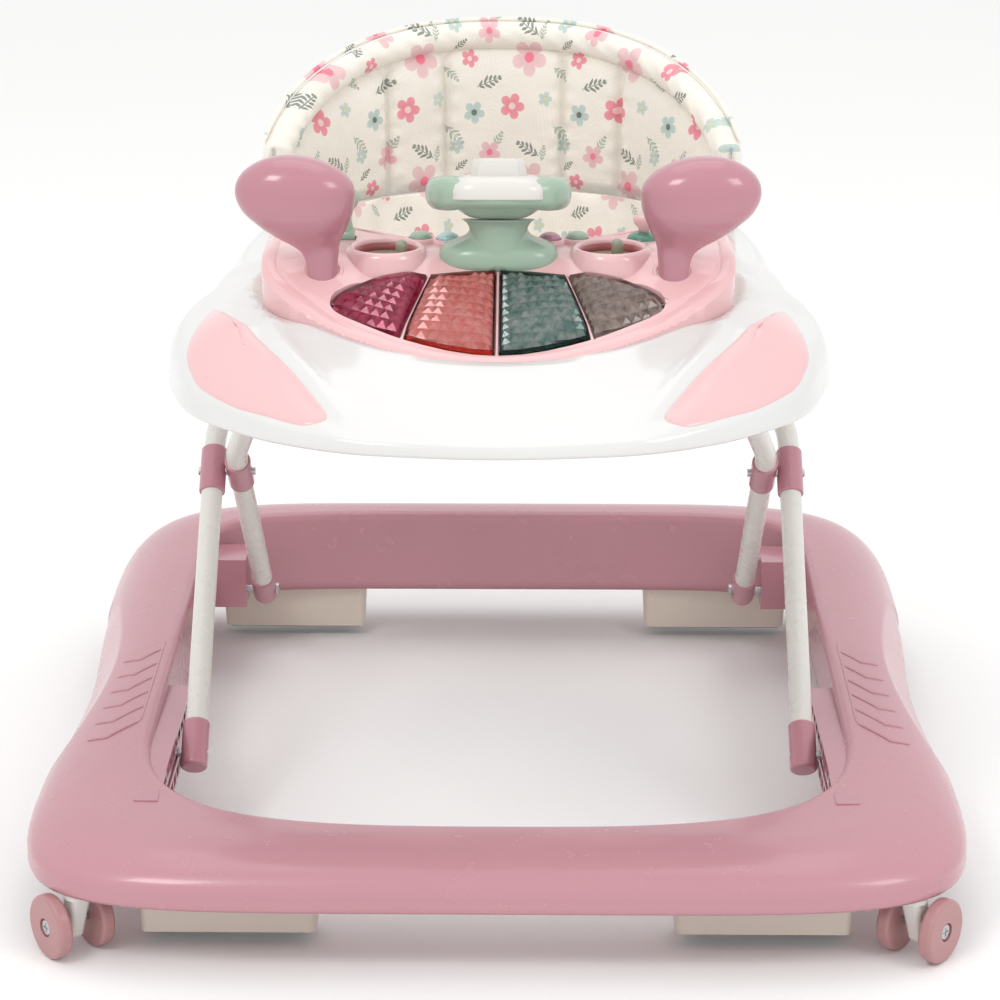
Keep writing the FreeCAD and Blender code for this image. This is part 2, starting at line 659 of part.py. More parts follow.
def make_console():
    form = console_form(0).cut(tray_body(0))
    hollow = console_form(9).cut(box(-300, 300, -400, 400, 0, TRAY_TOP_Z - 1))
    panel = form.cut(hollow)
    rings = []
    for side in SIDES:
        spot = Vector(side * DIAL_X, DIAL_Y, 0)
        rings.append(Part.makeCylinder(DIAL_R + 6.5, 34, spot + UP * 409, UP))
    lever_seat = Part.makeCylinder(13, 30, Vector(LEVER.x, LEVER.y, TRAY_TOP_Z + 2), UP)
    panel = fuse([panel] + rings + [lever_seat])
    for side in SIDES:
        spot = Vector(side * DIAL_X, DIAL_Y, 0)
        panel = panel.cut(Part.makeCylinder(DIAL_R + 0.5, 40, spot + UP * 434, UP))
        panel = panel.cut(Part.makeCylinder(4 + RUN, 20, spot + UP * 420, UP))
    for side, outer in GEM_KEYS.values():
        window = key_block(outer, KEY_GAP, 5.4, 30.0)
        panel = panel.cut(window if side > 0 else mirrored(window))
    for x, y in BUTTONS.values():
        panel = panel.cut(Part.makeCylinder(BUTTON_R + 0.5, 40, Vector(x, y, CONSOLE_Z - 6), UP))
    half = 6.4
    trough_r = LEVER_BARREL_R + 0.5
    panel = panel.cut(rod(LEVER - ALONG_X * half, LEVER + ALONG_X * half, trough_r))
    panel = panel.cut(box(LEVER.x - half, LEVER.x + half, LEVER.y - trough_r, LEVER.y + trough_r,
                          LEVER.z, LEVER.z + 30))
    panel = panel.cut(Part.makeCylinder(5 + RUN, 30, KEY_SPOT - UP * 8, UP))
    shell, glass, foot = mirror_parts()
    for side in SIDES:
        spot = Vector(side * foot.x, foot.y, foot.z - 0.4)
        boss = Part.makeCylinder(MIRROR_FOOT_R, 22, spot - UP * 22, UP).cut(tray_body(0))
        panel = panel.fuse(boss)
        panel = panel.cut(Part.makeCylinder(5 + RUN, 40, Vector(spot.x, spot.y, foot.z - 12.6), UP))
    base = steering_base()
    base = base.cut(tray_body(0))
    panel = panel.cut(base).removeSplitter()
    save("console_panel", panel)
    save("steering_base", base)
    save("steering_wheel", steering_wheel())
    save("wheel_insert", wheel_insert())
    save("horn_button", horn_button())
    for name, (side, outer) in GEM_KEYS.items():
        key = key_block(outer, 0.0, 2.0, 4.5)
        save(name, key if side > 0 else mirrored(key))
    for name, (x, y) in BUTTONS.items():
        knob = Part.makeCylinder(BUTTON_R, 8.5, Vector(x, y, CONSOLE_Z - 2.5), UP)
        knob = knob.makeFillet(3, [e for e in knob.Edges if e.Closed and e.BoundBox.ZMin > CONSOLE_Z])
        save(name, knob)
    for side, word in ((-1, "left"), (1, "right")):
        spot = Vector(side * DIAL_X, DIAL_Y, 0)
        dial = fuse([Part.makeCylinder(DIAL_R, 4, spot + UP * 434.3, UP),
                     Part.makeCylinder(4, 12, spot + UP * 423, UP),
                     box(spot.x - 2.2, spot.x + 2.2, spot.y - 9, spot.y + 9, 438, 448)])
        save("dial_" + word, dial)
        mirror = [shell, glass] if side > 0 else [mirrored(shell), mirrored(glass)]
        save("mirror_shell_" + word, mirror[0])
        save("mirror_glass_" + word, mirror[1])
    knob = Vector(LEVER.x, LEVER.y, LEVER_TOP_Z)
    lever = fuse([rod(LEVER - ALONG_X * 6, LEVER + ALONG_X * 6, LEVER_BARREL_R),
                  Part.makeCone(5, 3.5, knob.z - LEVER.z, LEVER, UP), Part.makeSphere(8.5, knob)])
    save("gear_lever", lever)
    turn_key = fuse([Part.makeCylinder(5, 8, KEY_SPOT - UP * 7.6, UP),
                     Part.makeCylinder(9, 4, KEY_SPOT + UP * 0.4, UP),
                     box(KEY_SPOT.x - 3, KEY_SPOT.x + 3, KEY_SPOT.y - 9, KEY_SPOT.y + 9,
                         CONSOLE_Z + 4, CONSOLE_Z + 16)])
    save("ignition_key", turn_key)


def make_battery_box():
    x0, x1, y0, y1 = BATTERY_BOX
    top = TRAY_TOP_Z - SKIN
    floor_t = 3.0
    case = box(x0, x1, y0, y1, BATTERY_LOW_Z, top)
    case = case.cut(box(x0 + 3, x1 - 3, y0 + 3, y1 - 3, BATTERY_LOW_Z - 2, top - 3))
    cover = box(x0 + 3.2, x1 - 3.2, y0 + 3.2, y1 - 3.2, BATTERY_LOW_Z, BATTERY_LOW_Z + floor_t)
    posts = []
    screws = []
    for x in (x0 + 7, x1 - 7):
        for y in (y0 + 7, y1 - 7):
            posts.append(box(x - 4, x + 4, y - 4, y + 4, BATTERY_LOW_Z + floor_t, top - 3))
            screws.append(screw(Vector(x, y, BATTERY_LOW_Z), UP, 2.6, 1.4, 1.1, 10))
    case = fuse([case] + posts)
    for one in screws:
        case = case.cut(one)
        cover = cover.cut(one)
    save("battery_box", case)
    save("battery_cover", cover)
    save("battery_cover_screws", screws)


# ---- seat ---------------------------------------------------------------
def turned(profile, angle=360.0, start=0.0):
    """Turn a closed (radius, height) profile about the seat's vertical axis."""
    points = [Vector(r, 0, z) for r, z in profile]
    wire = Part.makePolygon(points + points[:1])
    wire.rotate(Vector(0, 0, 0), UP, start)
    solid = Part.Face(wire).revolve(Vector(0, 0, 0), UP, angle)
    return solid.translated(Vector(0, SEAT_Y, 0))


def make_seat():
    hoop = [(SEAT_R - 4, TRAY_TOP_Z - 14), (SEAT_R - 0.3, TRAY_TOP_Z - 14), (SEAT_R - 0.3, TRAY_TOP_Z),
            (SEAT_R + 7, TRAY_TOP_Z), (SEAT_R + 7, TRAY_TOP_Z + 3), (SEAT_R + 3, TRAY_TOP_Z + 7),
            (SEAT_R - 2, TRAY_TOP_Z + 7), (SEAT_R - 4, TRAY_TOP_Z + 4)]
    save("seat_ring", turned(hoop))
    rim = SEAT_R - 4.5
    cloth = [(rim, TRAY_TOP_Z + 4), (rim - 4, TRAY_TOP_Z + 4), (rim - 16, 344), (96, 286),
             (40, SLING_LOW_Z + 4), (0, SLING_LOW_Z + 4), (0, SLING_LOW_Z), (44, SLING_LOW_Z),
             (100, 282), (rim - 12, 343)]
    gore = 360.0 / SLING_GORES
    gores = [turned(cloth, gore, i * gore) for i in range(SLING_GORES)]
    for side in SIDES:
        hole = Part.makeCylinder(LEG_HOLE_R, 120, Vector(side * LEG_HOLE_X, SEAT_Y - 18, 215), UP)
        gores = [one.cut(hole) for one in gores]
    save("seat_sling", gores)
    low = TRAY_TOP_Z + 0.3
    pad = turned([(BACK_R - BACK_T, low), (BACK_R - BACK_T, 560), (BACK_R, 560), (BACK_R, low)], 164, 8)
    board = turned([(BACK_R + 0.3, low), (BACK_R + 0.3, 560), (BACK_R + 3, 560), (BACK_R + 3, low)], 150, 15)
    arch = arch_prism(BACK_HALF_X, BACK_TOP_Z)
    small_arch = arch_prism(BACK_HALF_X - 6, BACK_TOP_Z - 10)
    save("backrest_pad", pad.common(arch))
    save("backrest_board", board.common(small_arch))


def arch_prism(half_x, top):
    """A round-headed form, seen along Y, that trims the backrest's upper edge."""
    low = 380.0
    spring = 440.0
    arc = []
    for i in range(13):
        a = math.pi * i / 12
        x = half_x * math.copysign(abs(math.cos(a)) ** 0.75, math.cos(a))
        arc.append(Vector(x, 0, spring + (top - spring) * math.sin(a) ** 0.9))
    curve = Part.BSplineCurve()
    curve.interpolate(arc)
    ends = [(-half_x, spring), (-half_x, low), (half_x, low), (half_x, spring)]
    skirt = Part.makePolygon([Vector(x, 0, z) for x, z in ends])
    wire = Part.Wire([curve.toShape(), skirt])
    return Part.Face(wire).extrude(Vector(0, 400, 0))


# ---- build --------------------------------------------------------------
def make_base():
    shell = base_body(0).cut(foot_well(0)).cut(base_cavity())
    pocket = rail_pocket()
    for one in pair(pocket):
        shell = shell.cut(one)
    save("base_shell", shell.removeSplitter())

    rail = front_rail()
    bracket = rear_bracket()
    screws = []
    for y in (-222.0, -62.0):
        screws.append(screw(Vector(WELL_HALF_X - 10, y, 57), ALONG_X, 3.2, 1.6, 1.4, 8))
    for z in (60.0, 90.0):
        screws.append(screw(Vector(212, 232, z), ALONG_X, 3.2, 1.6, 1.4, 10))
    for one in screws:
        rail = rail.cut(one)
        bracket = bracket.cut(one)
    save("front_rails", pair(rail))
    save("rear_brackets", pair(bracket))
    save("base_screws", [s for one in screws for s in pair(one)])

    pads = []
    strips = []
    for y0 in STOPPER_FRONTS:
        pads += pair(stop_pad(y0, y0 + STOPPER_DEPTH))
        strips += pair(grip_strip(y0, y0 + STOPPER_DEPTH))
    save("stop_pads", pads)
    save("stopper_grip_strips", strips)

    sockets = []
    for corner, (x, y, yaw) in CASTORS.items():
        sockets.append(castor_socket(x, y))
        fork, wheels, axle = castor(x, y, yaw)
        save("castor_fork_" + corner, fork)
        save("castor_wheels_" + corner, wheels)
        save("castor_axle_" + corner, axle)
    save("castor_sockets", sockets)


def make_tray(in_top, out_top, out_up):
    lights = pair(headlight().cut(tray_body(0)))
    shell = tray_skin()
    relief = rod(out_top - out_up * 60, out_top + out_up * (PAST_PIN + 1), TUBE_R + 1.2)
    for step in range(5):
        turned_relief = relief.copy()
        turned_relief.rotate(out_top, ALONG_X, -step * FOLD_DEG / 4)
        for one in pair(turned_relief):
            shell = shell.cut(one)
    save("tray_shell", shell)
    save("headlights", lights)
    save("slot_channels", pair(slot_channel(in_top)))
    save("pivot_brackets", pair(pivot_bracket(out_top)))


os.makedirs("parts", exist_ok=True)
make_base()
inner_top, outer_top, outer_rise = make_legs()
make_tray(inner_top, outer_top, outer_rise)
make_console()
make_battery_box()
make_seat()
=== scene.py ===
import json
import math

import bmesh
import bpy
import numpy as np
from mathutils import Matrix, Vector, noise


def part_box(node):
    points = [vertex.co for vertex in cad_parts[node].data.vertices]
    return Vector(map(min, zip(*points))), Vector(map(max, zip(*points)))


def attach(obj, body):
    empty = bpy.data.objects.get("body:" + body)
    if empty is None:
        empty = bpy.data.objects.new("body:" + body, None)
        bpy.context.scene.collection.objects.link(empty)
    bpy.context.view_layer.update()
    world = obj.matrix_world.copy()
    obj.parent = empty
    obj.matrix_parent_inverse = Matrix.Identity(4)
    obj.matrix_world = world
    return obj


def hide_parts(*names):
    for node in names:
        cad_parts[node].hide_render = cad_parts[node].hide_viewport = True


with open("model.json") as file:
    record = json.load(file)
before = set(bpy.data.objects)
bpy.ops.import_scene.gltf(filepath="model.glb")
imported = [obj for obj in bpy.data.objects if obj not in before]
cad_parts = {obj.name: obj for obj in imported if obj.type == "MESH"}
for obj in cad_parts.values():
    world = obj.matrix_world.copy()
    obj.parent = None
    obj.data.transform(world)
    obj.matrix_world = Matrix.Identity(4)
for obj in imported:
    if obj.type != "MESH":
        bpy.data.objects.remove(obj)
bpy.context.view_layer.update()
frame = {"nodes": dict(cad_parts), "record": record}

# Baby walker. Metres, +Z up, the child faces -Y. The left side is -X.
MM = 0.001
RECORD = frame["record"]
JOINTS = {j["name"]: j for j in RECORD["behaviour"]["joints"]}


def low(node):
    return Vector(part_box(node)[0])


def high(node):
    return Vector(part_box(node)[1])


def middle(node):
    return (low(node) + high(node)) / 2


# ---- places taken from the frame ------------------------------------------
BASE_LOW = low("base_shell")
BASE_HIGH = high("base_shell")
BASE_X = BASE_HIGH.x
BASE_Y = BASE_HIGH.y - 1.5 * MM
RIM_Z = BASE_LOW.z
WELL_X = high("front_rails").x
WELL_FRONT = -0.284
WELL_REAR = 0.276
TOP_MID = 0.0975
TOP_SLOPE = 0.0470
SIDE_STRAIGHT = 0.120

TRAY_LOW = low("tray_shell").z
TRAY_TOP = high("tray_shell").z
SEAT = Vector((0, middle("seat_ring").y, 0))
SEAT_R = 0.150
CONSOLE_Z = TRAY_TOP + 0.036
COLUMN = Vector((0, JOINTS["steering_turn"]["pos_m"][1], JOINTS["steering_turn"]["pos_m"][2]))


# ---- small maths ------------------------------------------------------------
def lerp(a, b, t):
    return a + (b - a) * t


def smooth(low_end, high_end, value):
    t = min(1.0, max(0.0, (value - low_end) / (high_end - low_end)))
    return t * t * (3 - 2 * t)


def bump(distance, width):
    return math.exp(-(distance / width) ** 2)


def spline(points, count, closed=False):
    """Points along a smooth curve through a few given ones."""
    pts = [np.array(p, float) for p in points]
    n = len(pts)
    spans = n if closed else n - 1
    found = []
    for i in range(count):
        at = i / (count if closed else count - 1) * spans
        k = min(int(at), spans - 1)
        t = at - k
        if closed:
            p0, p1, p2, p3 = (pts[(k + j) % n] for j in (-1, 0, 1, 2))
        else:
            p1, p2 = pts[k], pts[k + 1]
            p0 = pts[k - 1] if k > 0 else 2 * p1 - p2
            p3 = pts[k + 2] if k + 2 < n else 2 * p2 - p1
        found.append(0.5 * (2 * p1 + (p2 - p0) * t + (2 * p0 - 5 * p1 + 4 * p2 - p3) * t * t
                            + (3 * p1 - p0 - 3 * p2 + p3) * t ** 3))
    return found


# ---- mesh helpers -----------------------------------------------------------
def new_object(name, verts, faces, material, smooth_shade=True):
    mesh = bpy.data.meshes.new(name)
    mesh.from_pydata([tuple(v) for v in verts], [], faces)
    mesh.materials.append(material)
    bm = bmesh.new()
    bm.from_mesh(mesh)
    bmesh.ops.remove_doubles(bm, verts=bm.verts, dist=1e-6)
    bmesh.ops.recalc_face_normals(bm, faces=bm.faces)
    bm.to_mesh(mesh)
    bm.free()
    mesh.polygons.foreach_set("use_smooth", [smooth_shade] * len(mesh.polygons))
    obj = bpy.data.objects.new(name, mesh)
    bpy.context.collection.objects.link(obj)
    return obj


def grid_faces(rows, cols, close_rows=False, close_cols=False, start=0):
    faces = []
    for i in range(rows if close_rows else rows - 1):
        for j in range(cols if close_cols else cols - 1):
            a = start + i * cols + j
            b = start + i * cols + (j + 1) % cols
            c = start + ((i + 1) % rows) * cols + (j + 1) % cols
            d = start + ((i + 1) % rows) * cols + j
            faces.append((a, b, c, d))
    return faces


def grid_object(name, grid, material, close_rows=False, close_cols=False, caps=False):
    """A surface through a grid of points; caps closes the first and last rows of a tube."""
    rows = len(grid)
    cols = len(grid[0])
    verts = [p for row in grid for p in row]
    faces = grid_faces(rows, cols, close_rows, close_cols)
    if caps:
        faces.append(tuple(range(cols)))
        faces.append(tuple(range((rows - 1) * cols, rows * cols)))
    return new_object(name, verts, faces, material)


def modifier(obj, kind, **settings):
    mod = obj.modifiers.new(kind.lower(), kind)
    for key, value in settings.items():
        setattr(mod, key, value)
    return mod


def apply_modifiers(obj):
    graph = bpy.context.evaluated_depsgraph_get()
    mesh = bpy.data.meshes.new_from_object(obj.evaluated_get(graph))
    old = obj.data
    obj.modifiers.clear()
    obj.data = mesh
    bpy.data.meshes.remove(old)
    obj.data.polygons.foreach_set("use_smooth", [True] * len(obj.data.polygons))
    obj.data.update()


def join(name, objects):
    """One object from several; each keeps its own material."""
    bpy.ops.object.select_all(action="DESELECT")
    for obj in objects:
        obj.select_set(True)
    bpy.context.view_layer.objects.active = objects[0]
    bpy.ops.object.join()
    objects[0].name = name
    return objects[0]


def turned(name, centre, axis, profile, material, sides=64, scale=(1.0, 1.0), across=None):
    """A turned piece: profile is (radius, height) along the axis, closed on the axis at both ends."""
    w = Vector(axis).normalized()
    u = (Vector(across) if across else w.orthogonal()).normalized()
    v = w.cross(u)
    grid = []
    for r, h in profile:
        r = max(r, 1e-5)
        row = []
        for j in range(sides):
            b = 2 * math.pi * j / sides
            out = u * (r * scale[0] * math.cos(b)) + v * (r * scale[1] * math.sin(b))
            row.append(Vector(centre) + out + w * h)
        grid.append(row)
    return grid_object(name, grid, material, False, True, caps=True)


def rounded_profile(radius, bottom, top, edge, steps=6):
    """The profile of a disc with a rounded upper edge."""
    points = [(0, bottom), (radius * 0.5, bottom), (radius - edge * 0.3, bottom)]
    points.append((radius, bottom + edge * 0.3))
    for i in range(steps + 1):
        a = math.pi / 2 * i / steps
        points.append((radius - edge + edge * math.cos(a), top - edge + edge * math.sin(a)))
    points += [(radius * 0.6, top), (radius * 0.3, top), (0, top)]
    return points


def tube_along(name, path, radius, material, sides=10, flat=1.0, up=(0, 0, 1)):
    """A tube along a path of points, with rounded ends."""
    pts = [Vector(p) for p in path]
    grid = []
    for i, p in enumerate(pts):
        ahead = (pts[min(i + 1, len(pts) - 1)] - pts[max(i - 1, 0)]).normalized()
        side = ahead.cross(Vector(up)).normalized()
        lift = side.cross(ahead).normalized()
        end = min(i, len(pts) - 1 - i)
        r = radius * (0.05 if end == 0 else 0.8 if end == 1 else 1.0)
        row = []
        for j in range(sides):
            b = 2 * math.pi * j / sides
            row.append(p + side * (r * math.cos(b)) + lift * (r * flat * math.sin(b)))
        grid.append(row)
    return grid_object(name, grid, material, False, True, caps=True)


# ---- materials ----------------------------------------------------------------
class Nodes:
    """A material's node tree, with short ways to add nodes and to do sums with sockets."""

    def __init__(self, name):
        self.material = bpy.data.materials.new(name)
        self.material.use_nodes = True
        self.tree = self.material.node_tree
        self.shader = self.tree.nodes["Principled BSDF"]

    def add(self, kind, inputs=None, **settings):
        node = self.tree.nodes.new(kind)
        for key, value in settings.items():
            setattr(node, key, value)
        for key, value in (inputs or {}).items():
            self.put(node.inputs[key], value)
        return node

    def put(self, socket, value):
        if isinstance(value, bpy.types.NodeSocket):
            self.tree.links.new(value, socket)
        else:
            socket.default_value = value

    def maths(self, operation, a, b=0.0, c=0.0, clamp=False):
        node = self.add("ShaderNodeMath", operation=operation, use_clamp=clamp)
        for socket, value in zip(node.inputs, (a, b, c)):
            self.put(socket, value)
        return node.outputs[0]

    def mix(self, share, a, b, blend="MIX"):
        node = self.add("ShaderNodeMix", data_type="RGBA", blend_type=blend)
        self.put(node.inputs[0], share)
        for socket, value in ((node.inputs[6], a), (node.inputs[7], b)):
            self.put(socket, value if isinstance(value, bpy.types.NodeSocket) else (*value[:3], 1.0))
        return node.outputs[2]

    def place(self):
        return self.add("ShaderNodeTexCoord").outputs["Object"]

    def noise(self, scale, detail=2.0, rough=0.5):
        node = self.add("ShaderNodeTexNoise", {"Vector": self.place(), "Scale": scale, "Detail": detail,
                                               "Roughness": rough})
        return node.outputs["Fac"]

    def ramp(self, value, from_low, from_high, to_low, to_high):
        node = self.add("ShaderNodeMapRange", {"Value": value, "From Min": from_low, "From Max": from_high,
                                               "To Min": to_low, "To Max": to_high})
        return node.outputs[0]

    def base(self, value):
        self.put(self.shader.inputs["Base Color"], value)

    def rough(self, value):
        self.put(self.shader.inputs["Roughness"], value)

    def relief(self, height, distance, strength=1.0):
        node = self.add("ShaderNodeBump", {"Height": height, "Distance": distance, "Strength": strength})
        self.put(self.shader.inputs["Normal"], node.outputs[0])


def shade(colour, factor):
    return tuple(min(1.0, c * factor) for c in colour[:3])


def plastic(name, colour, rough=0.22, orange=0.12, wear=0.06, coat=0.3):
    """Moulded plastic: flow clouding, faint orange peel, paler worn edges, smudged gloss."""
    n = Nodes(name)
    clouds = n.noise(9.0, 3.0)
    tone = n.mix(n.ramp(clouds, 0.35, 0.65, 0.0, 1.0), shade(colour, 0.985), shade(colour, 1.012))
    edge = n.ramp(n.add("ShaderNodeNewGeometry").outputs["Pointiness"], 0.56, 0.68, 0.0, wear)
    tone = n.mix(edge, tone, lerp_colour(colour, (1, 1, 1), 0.35))
    n.base(tone)
    smudge = n.noise(38.0, 4.0, 0.6)
    n.rough(n.ramp(smudge, 0.3, 0.75, rough * 0.92, rough * 1.1))
    n.relief(n.noise(420.0, 2.0), 0.00003, orange)
    n.shader.inputs["Coat Weight"].default_value = coat
    n.shader.inputs["Coat Roughness"].default_value = 0.08
    n.shader.inputs["Specular IOR Level"].default_value = 0.5
    return n.material


def lerp_colour(a, b, t):
    return tuple(lerp(x, y, t) for x, y in zip(a[:3], b[:3]))


def gem_plastic(name, colour, deep):
    """Tinted translucent plastic with tiny flow marks, and painted light and shade: a noise mixes a pale
    tone (painted light on the facets) with the gem's own tint darkened (painted shade in its depths).
    """
    n = Nodes(name)
    # painted light and shade: this noise sets the pale tone (painted light on the facets) beside the darker
    # tone (painted shade in the depths)
    facet_light_and_shade = n.noise(160.0, 1.0)
    tone = n.mix(n.ramp(facet_light_and_shade, 0.3, 0.7, 0.0, 1.0), colour, deep)
    n.base(tone)
    n.rough(n.ramp(n.noise(90.0, 2.0), 0.3, 0.7, 0.06, 0.16))
    n.relief(n.noise(700.0, 1.0), 0.00003, 0.1)
    n.shader.inputs["Transmission Weight"].default_value = 0.35
    n.shader.inputs["IOR"].default_value = 1.45
    n.shader.inputs["Coat Weight"].default_value = 0.8
    n.shader.inputs["Coat Roughness"].default_value = 0.03
    return n.material


def clear_tint(name, colour):
    n = Nodes(name)
    n.base(n.mix(n.ramp(n.noise(30.0), 0.3, 0.7, 0.0, 1.0), colour, shade(colour, 0.93)))
    n.rough(n.ramp(n.noise(60.0, 3.0), 0.3, 0.7, 0.02, 0.07))
    n.relief(n.noise(300.0), 0.00002, 0.1)
    n.shader.inputs["Transmission Weight"].default_value = 1.0
    n.shader.inputs["IOR"].default_value = 1.25
    return n.material


def enamel(name, colour):
    """Powder-coated steel tube."""
    n = Nodes(name)
    n.base(n.mix(n.ramp(n.noise(14.0, 3.0), 0.35, 0.65, 0.0, 1.0), shade(colour, 0.96), colour))
    n.rough(n.ramp(n.noise(60.0, 4.0), 0.3, 0.7, 0.22, 0.36))
    n.relief(n.noise(650.0, 3.0), 0.00008, 0.3)
    n.shader.inputs["Coat Weight"].default_value = 0.25
    return n.material


def steel(name):
    n = Nodes(name)
    scratch = n.noise(900.0, 5.0, 0.7)
    n.base(n.mix(scratch, (0.42, 0.42, 0.43), (0.68, 0.68, 0.69)))
    n.rough(n.ramp(scratch, 0.2, 0.8, 0.2, 0.42))
    n.relief(scratch, 0.00004, 0.3)
    n.shader.inputs["Metallic"].default_value = 1.0
    return n.material


def mirror_film(name):
    n = Nodes(name)
    wave = n.noise(22.0, 2.0)
    n.base(n.mix(wave, (0.80, 0.82, 0.84), (0.88, 0.89, 0.90)))
    n.rough(n.ramp(n.noise(70.0, 3.0), 0.3, 0.7, 0.03, 0.10))
    n.relief(wave, 0.0002, 0.2)
    n.shader.inputs["Metallic"].default_value = 1.0
    return n.material


def rubber(name, colour):
    n = Nodes(name)
    grain = n.noise(300.0, 5.0, 0.7)
    n.base(n.mix(grain, shade(colour, 0.8), shade(colour, 1.15)))
    n.rough(n.ramp(grain, 0.3, 0.7, 0.6, 0.85))
    n.relief(grain, 0.0002, 0.5)
    return n.material


PINK = (0.510, 0.245, 0.285)
PALE_PINK = (0.800, 0.490, 0.500)
SAGE = (0.330, 0.450, 0.350)
WHITE = (0.715, 0.712, 0.700)

MAT = {
    "base_pink": plastic("base_pink", PINK, 0.26, 0.2, wear=0.0),
    "cap_pink": plastic("cap_pink", (0.480, 0.215, 0.260), 0.2, 0.12),
    "wheel_pink": plastic("wheel_pink", (0.440, 0.220, 0.225), 0.38, 0.3, coat=0.1),
    "white_plastic": plastic("white_plastic", (0.70, 0.68, 0.64), 0.25, 0.15),
    "cream_plastic": plastic("cream_plastic", (0.70, 0.62, 0.54), 0.42, 0.3, coat=0.05),
    "grip_rubber": rubber("grip_rubber", (0.10, 0.095, 0.09)),
    "steel": steel("steel"),
    "tube_white": enamel("tube_white", (0.72, 0.70, 0.66)),
    "tray_white": plastic("tray_white", WHITE, 0.16, 0.08, wear=0.0, coat=0.6),
    "light_pink": plastic("light_pink", PALE_PINK, 0.18, 0.1, coat=0.5),
    "sage_green": plastic("sage_green", SAGE, 0.24, 0.15),
    "pale_blue": plastic("pale_blue", (0.45, 0.68, 0.68), 0.2, 0.1),
    "mauve": plastic("mauve", (0.50, 0.24, 0.31), 0.2, 0.1),
    # Each gem's first colour is a pale tone of painted light on its facets (for the teal gem a grey painted
    # reflection); the second is the gem's own tint, darkened as painted shade in its depths.
    "gem_magenta": gem_plastic("gem_magenta", (0.74, 0.11, 0.24), (0.42, 0.03, 0.10)),
    "gem_coral": gem_plastic("gem_coral", (1.0, 0.52, 0.49), (0.90, 0.30, 0.27)),
    "gem_teal": gem_plastic("gem_teal", (0.56, 0.56, 0.54), (0.15, 0.30, 0.27)),
    "gem_taupe": gem_plastic("gem_taupe", (0.60, 0.49, 0.44), (0.34, 0.26, 0.23)),
    "mirror_film": mirror_film("mirror_film"),
}
DIAL_GREY = plastic("dial_grey", (0.34, 0.34, 0.25), 0.3, 0.1)
DARK_GREEN = plastic("dark_green", (0.06, 0.22, 0.15), 0.2, 0.1)
FRAME_CORAL = clear_tint("frame_coral", (0.95, 0.16, 0.08))
FRAME_TEAL = clear_tint("frame_teal", (0.03, 0.17, 0.14))
WELL_RED = plastic("well_red", (0.40, 0.10, 0.10), 0.3, 0.1)
LENS = {
    "gem_magenta": clear_tint("lens_magenta", (0.86, 0.45, 0.56)),
    "gem_coral": clear_tint("lens_coral", (0.97, 0.72, 0.70)),
    "gem_teal": clear_tint("lens_teal", (0.72, 0.80, 0.78)),
    "gem_taupe": clear_tint("lens_taupe", (0.82, 0.78, 0.75)),
}
RIB = {"gem_coral": FRAME_CORAL, "gem_teal": FRAME_TEAL}


def stand_in(obj, node, body):
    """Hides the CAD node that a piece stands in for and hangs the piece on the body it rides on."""
    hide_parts(node)
    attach(obj, body)


# ---- camera, light and floor ----------------------------------------------------
CAMERA_LENS = 108
CAMERA_PLACE = (0.024, -2.124, 0.906)
CAMERA_TURNS = (72.0, 0, 0.66)
WORLD_STRENGTH = 0.98
FLOOR_HALF = 14.0


def make_camera():
    data = bpy.data.cameras.new("camera")
    data.lens = CAMERA_LENS
    data.clip_end = 50
    camera = bpy.data.objects.new("camera", data)
    camera.location = CAMERA_PLACE
    camera.rotation_euler = [math.radians(turn) for turn in CAMERA_TURNS]
    bpy.context.collection.objects.link(camera)
    bpy.context.scene.camera = camera


def area_light(name, place, target, size, power, tint=(1, 1, 1)):
    data = bpy.data.lights.new(name, "AREA")
    data.shape = "RECTANGLE"
    data.size, data.size_y = size
    data.energy = power
    data.color = tint
    lamp = bpy.data.objects.new(name, data)
    lamp.location = place
    lamp.rotation_euler = (Vector(target) - Vector(place)).to_track_quat("-Z", "Y").to_euler()
    bpy.context.collection.objects.link(lamp)


def make_studio():
    world = bpy.data.worlds.new("studio")
    world.use_nodes = True
    world.node_tree.nodes["Background"].inputs["Color"].default_value = (1.0, 1.0, 1.0, 1)
    world.node_tree.nodes["Background"].inputs["Strength"].default_value = WORLD_STRENGTH
    bpy.context.scene.world = world
    bpy.context.scene.view_settings.view_transform = "Standard"
    area_light("key", (-1.1, -1.6, 2.3), (0, 0, 0.2), (0.7, 0.7), 13, (1, 0.99, 0.97))
    area_light("fill", (1.5, -1.2, 1.7), (0, 0, 0.25), (0.7, 0.7), 7)
    area_light("top", (0, 0.5, 2.4), (0, 0, 0.2), (1.6, 1.6), 6)
    floor_paint = Nodes("studio_floor")
    floor_paint.base(floor_paint.mix(floor_paint.noise(1.5), (0.93, 0.93, 0.925), (0.95, 0.95, 0.945)))
    floor_paint.rough(0.9)
    floor_paint.shader.inputs["Specular IOR Level"].default_value = 0.1
    places = [lerp(-FLOOR_HALF, FLOOR_HALF, i / 8) for i in range(9)]
    grid = [[(x, y, 0) for y in places] for x in places]
    floor = grid_object("studio_floor", grid, floor_paint.material)


# ---- base ring ------------------------------------------------------------------
CORNERS = 100
STRAIGHT = 150


def superellipse(half_x, half_y, power, angle):
    c, s = math.cos(angle), math.sin(angle)
    reach = (abs(c) ** power + abs(s) ** power) ** (-1 / power)
    return half_x * reach * c, half_y * reach * s


def waist(y):
    """How far the base's sides pull in."""
    return 0.010 * bump(y + 0.010, 0.120)


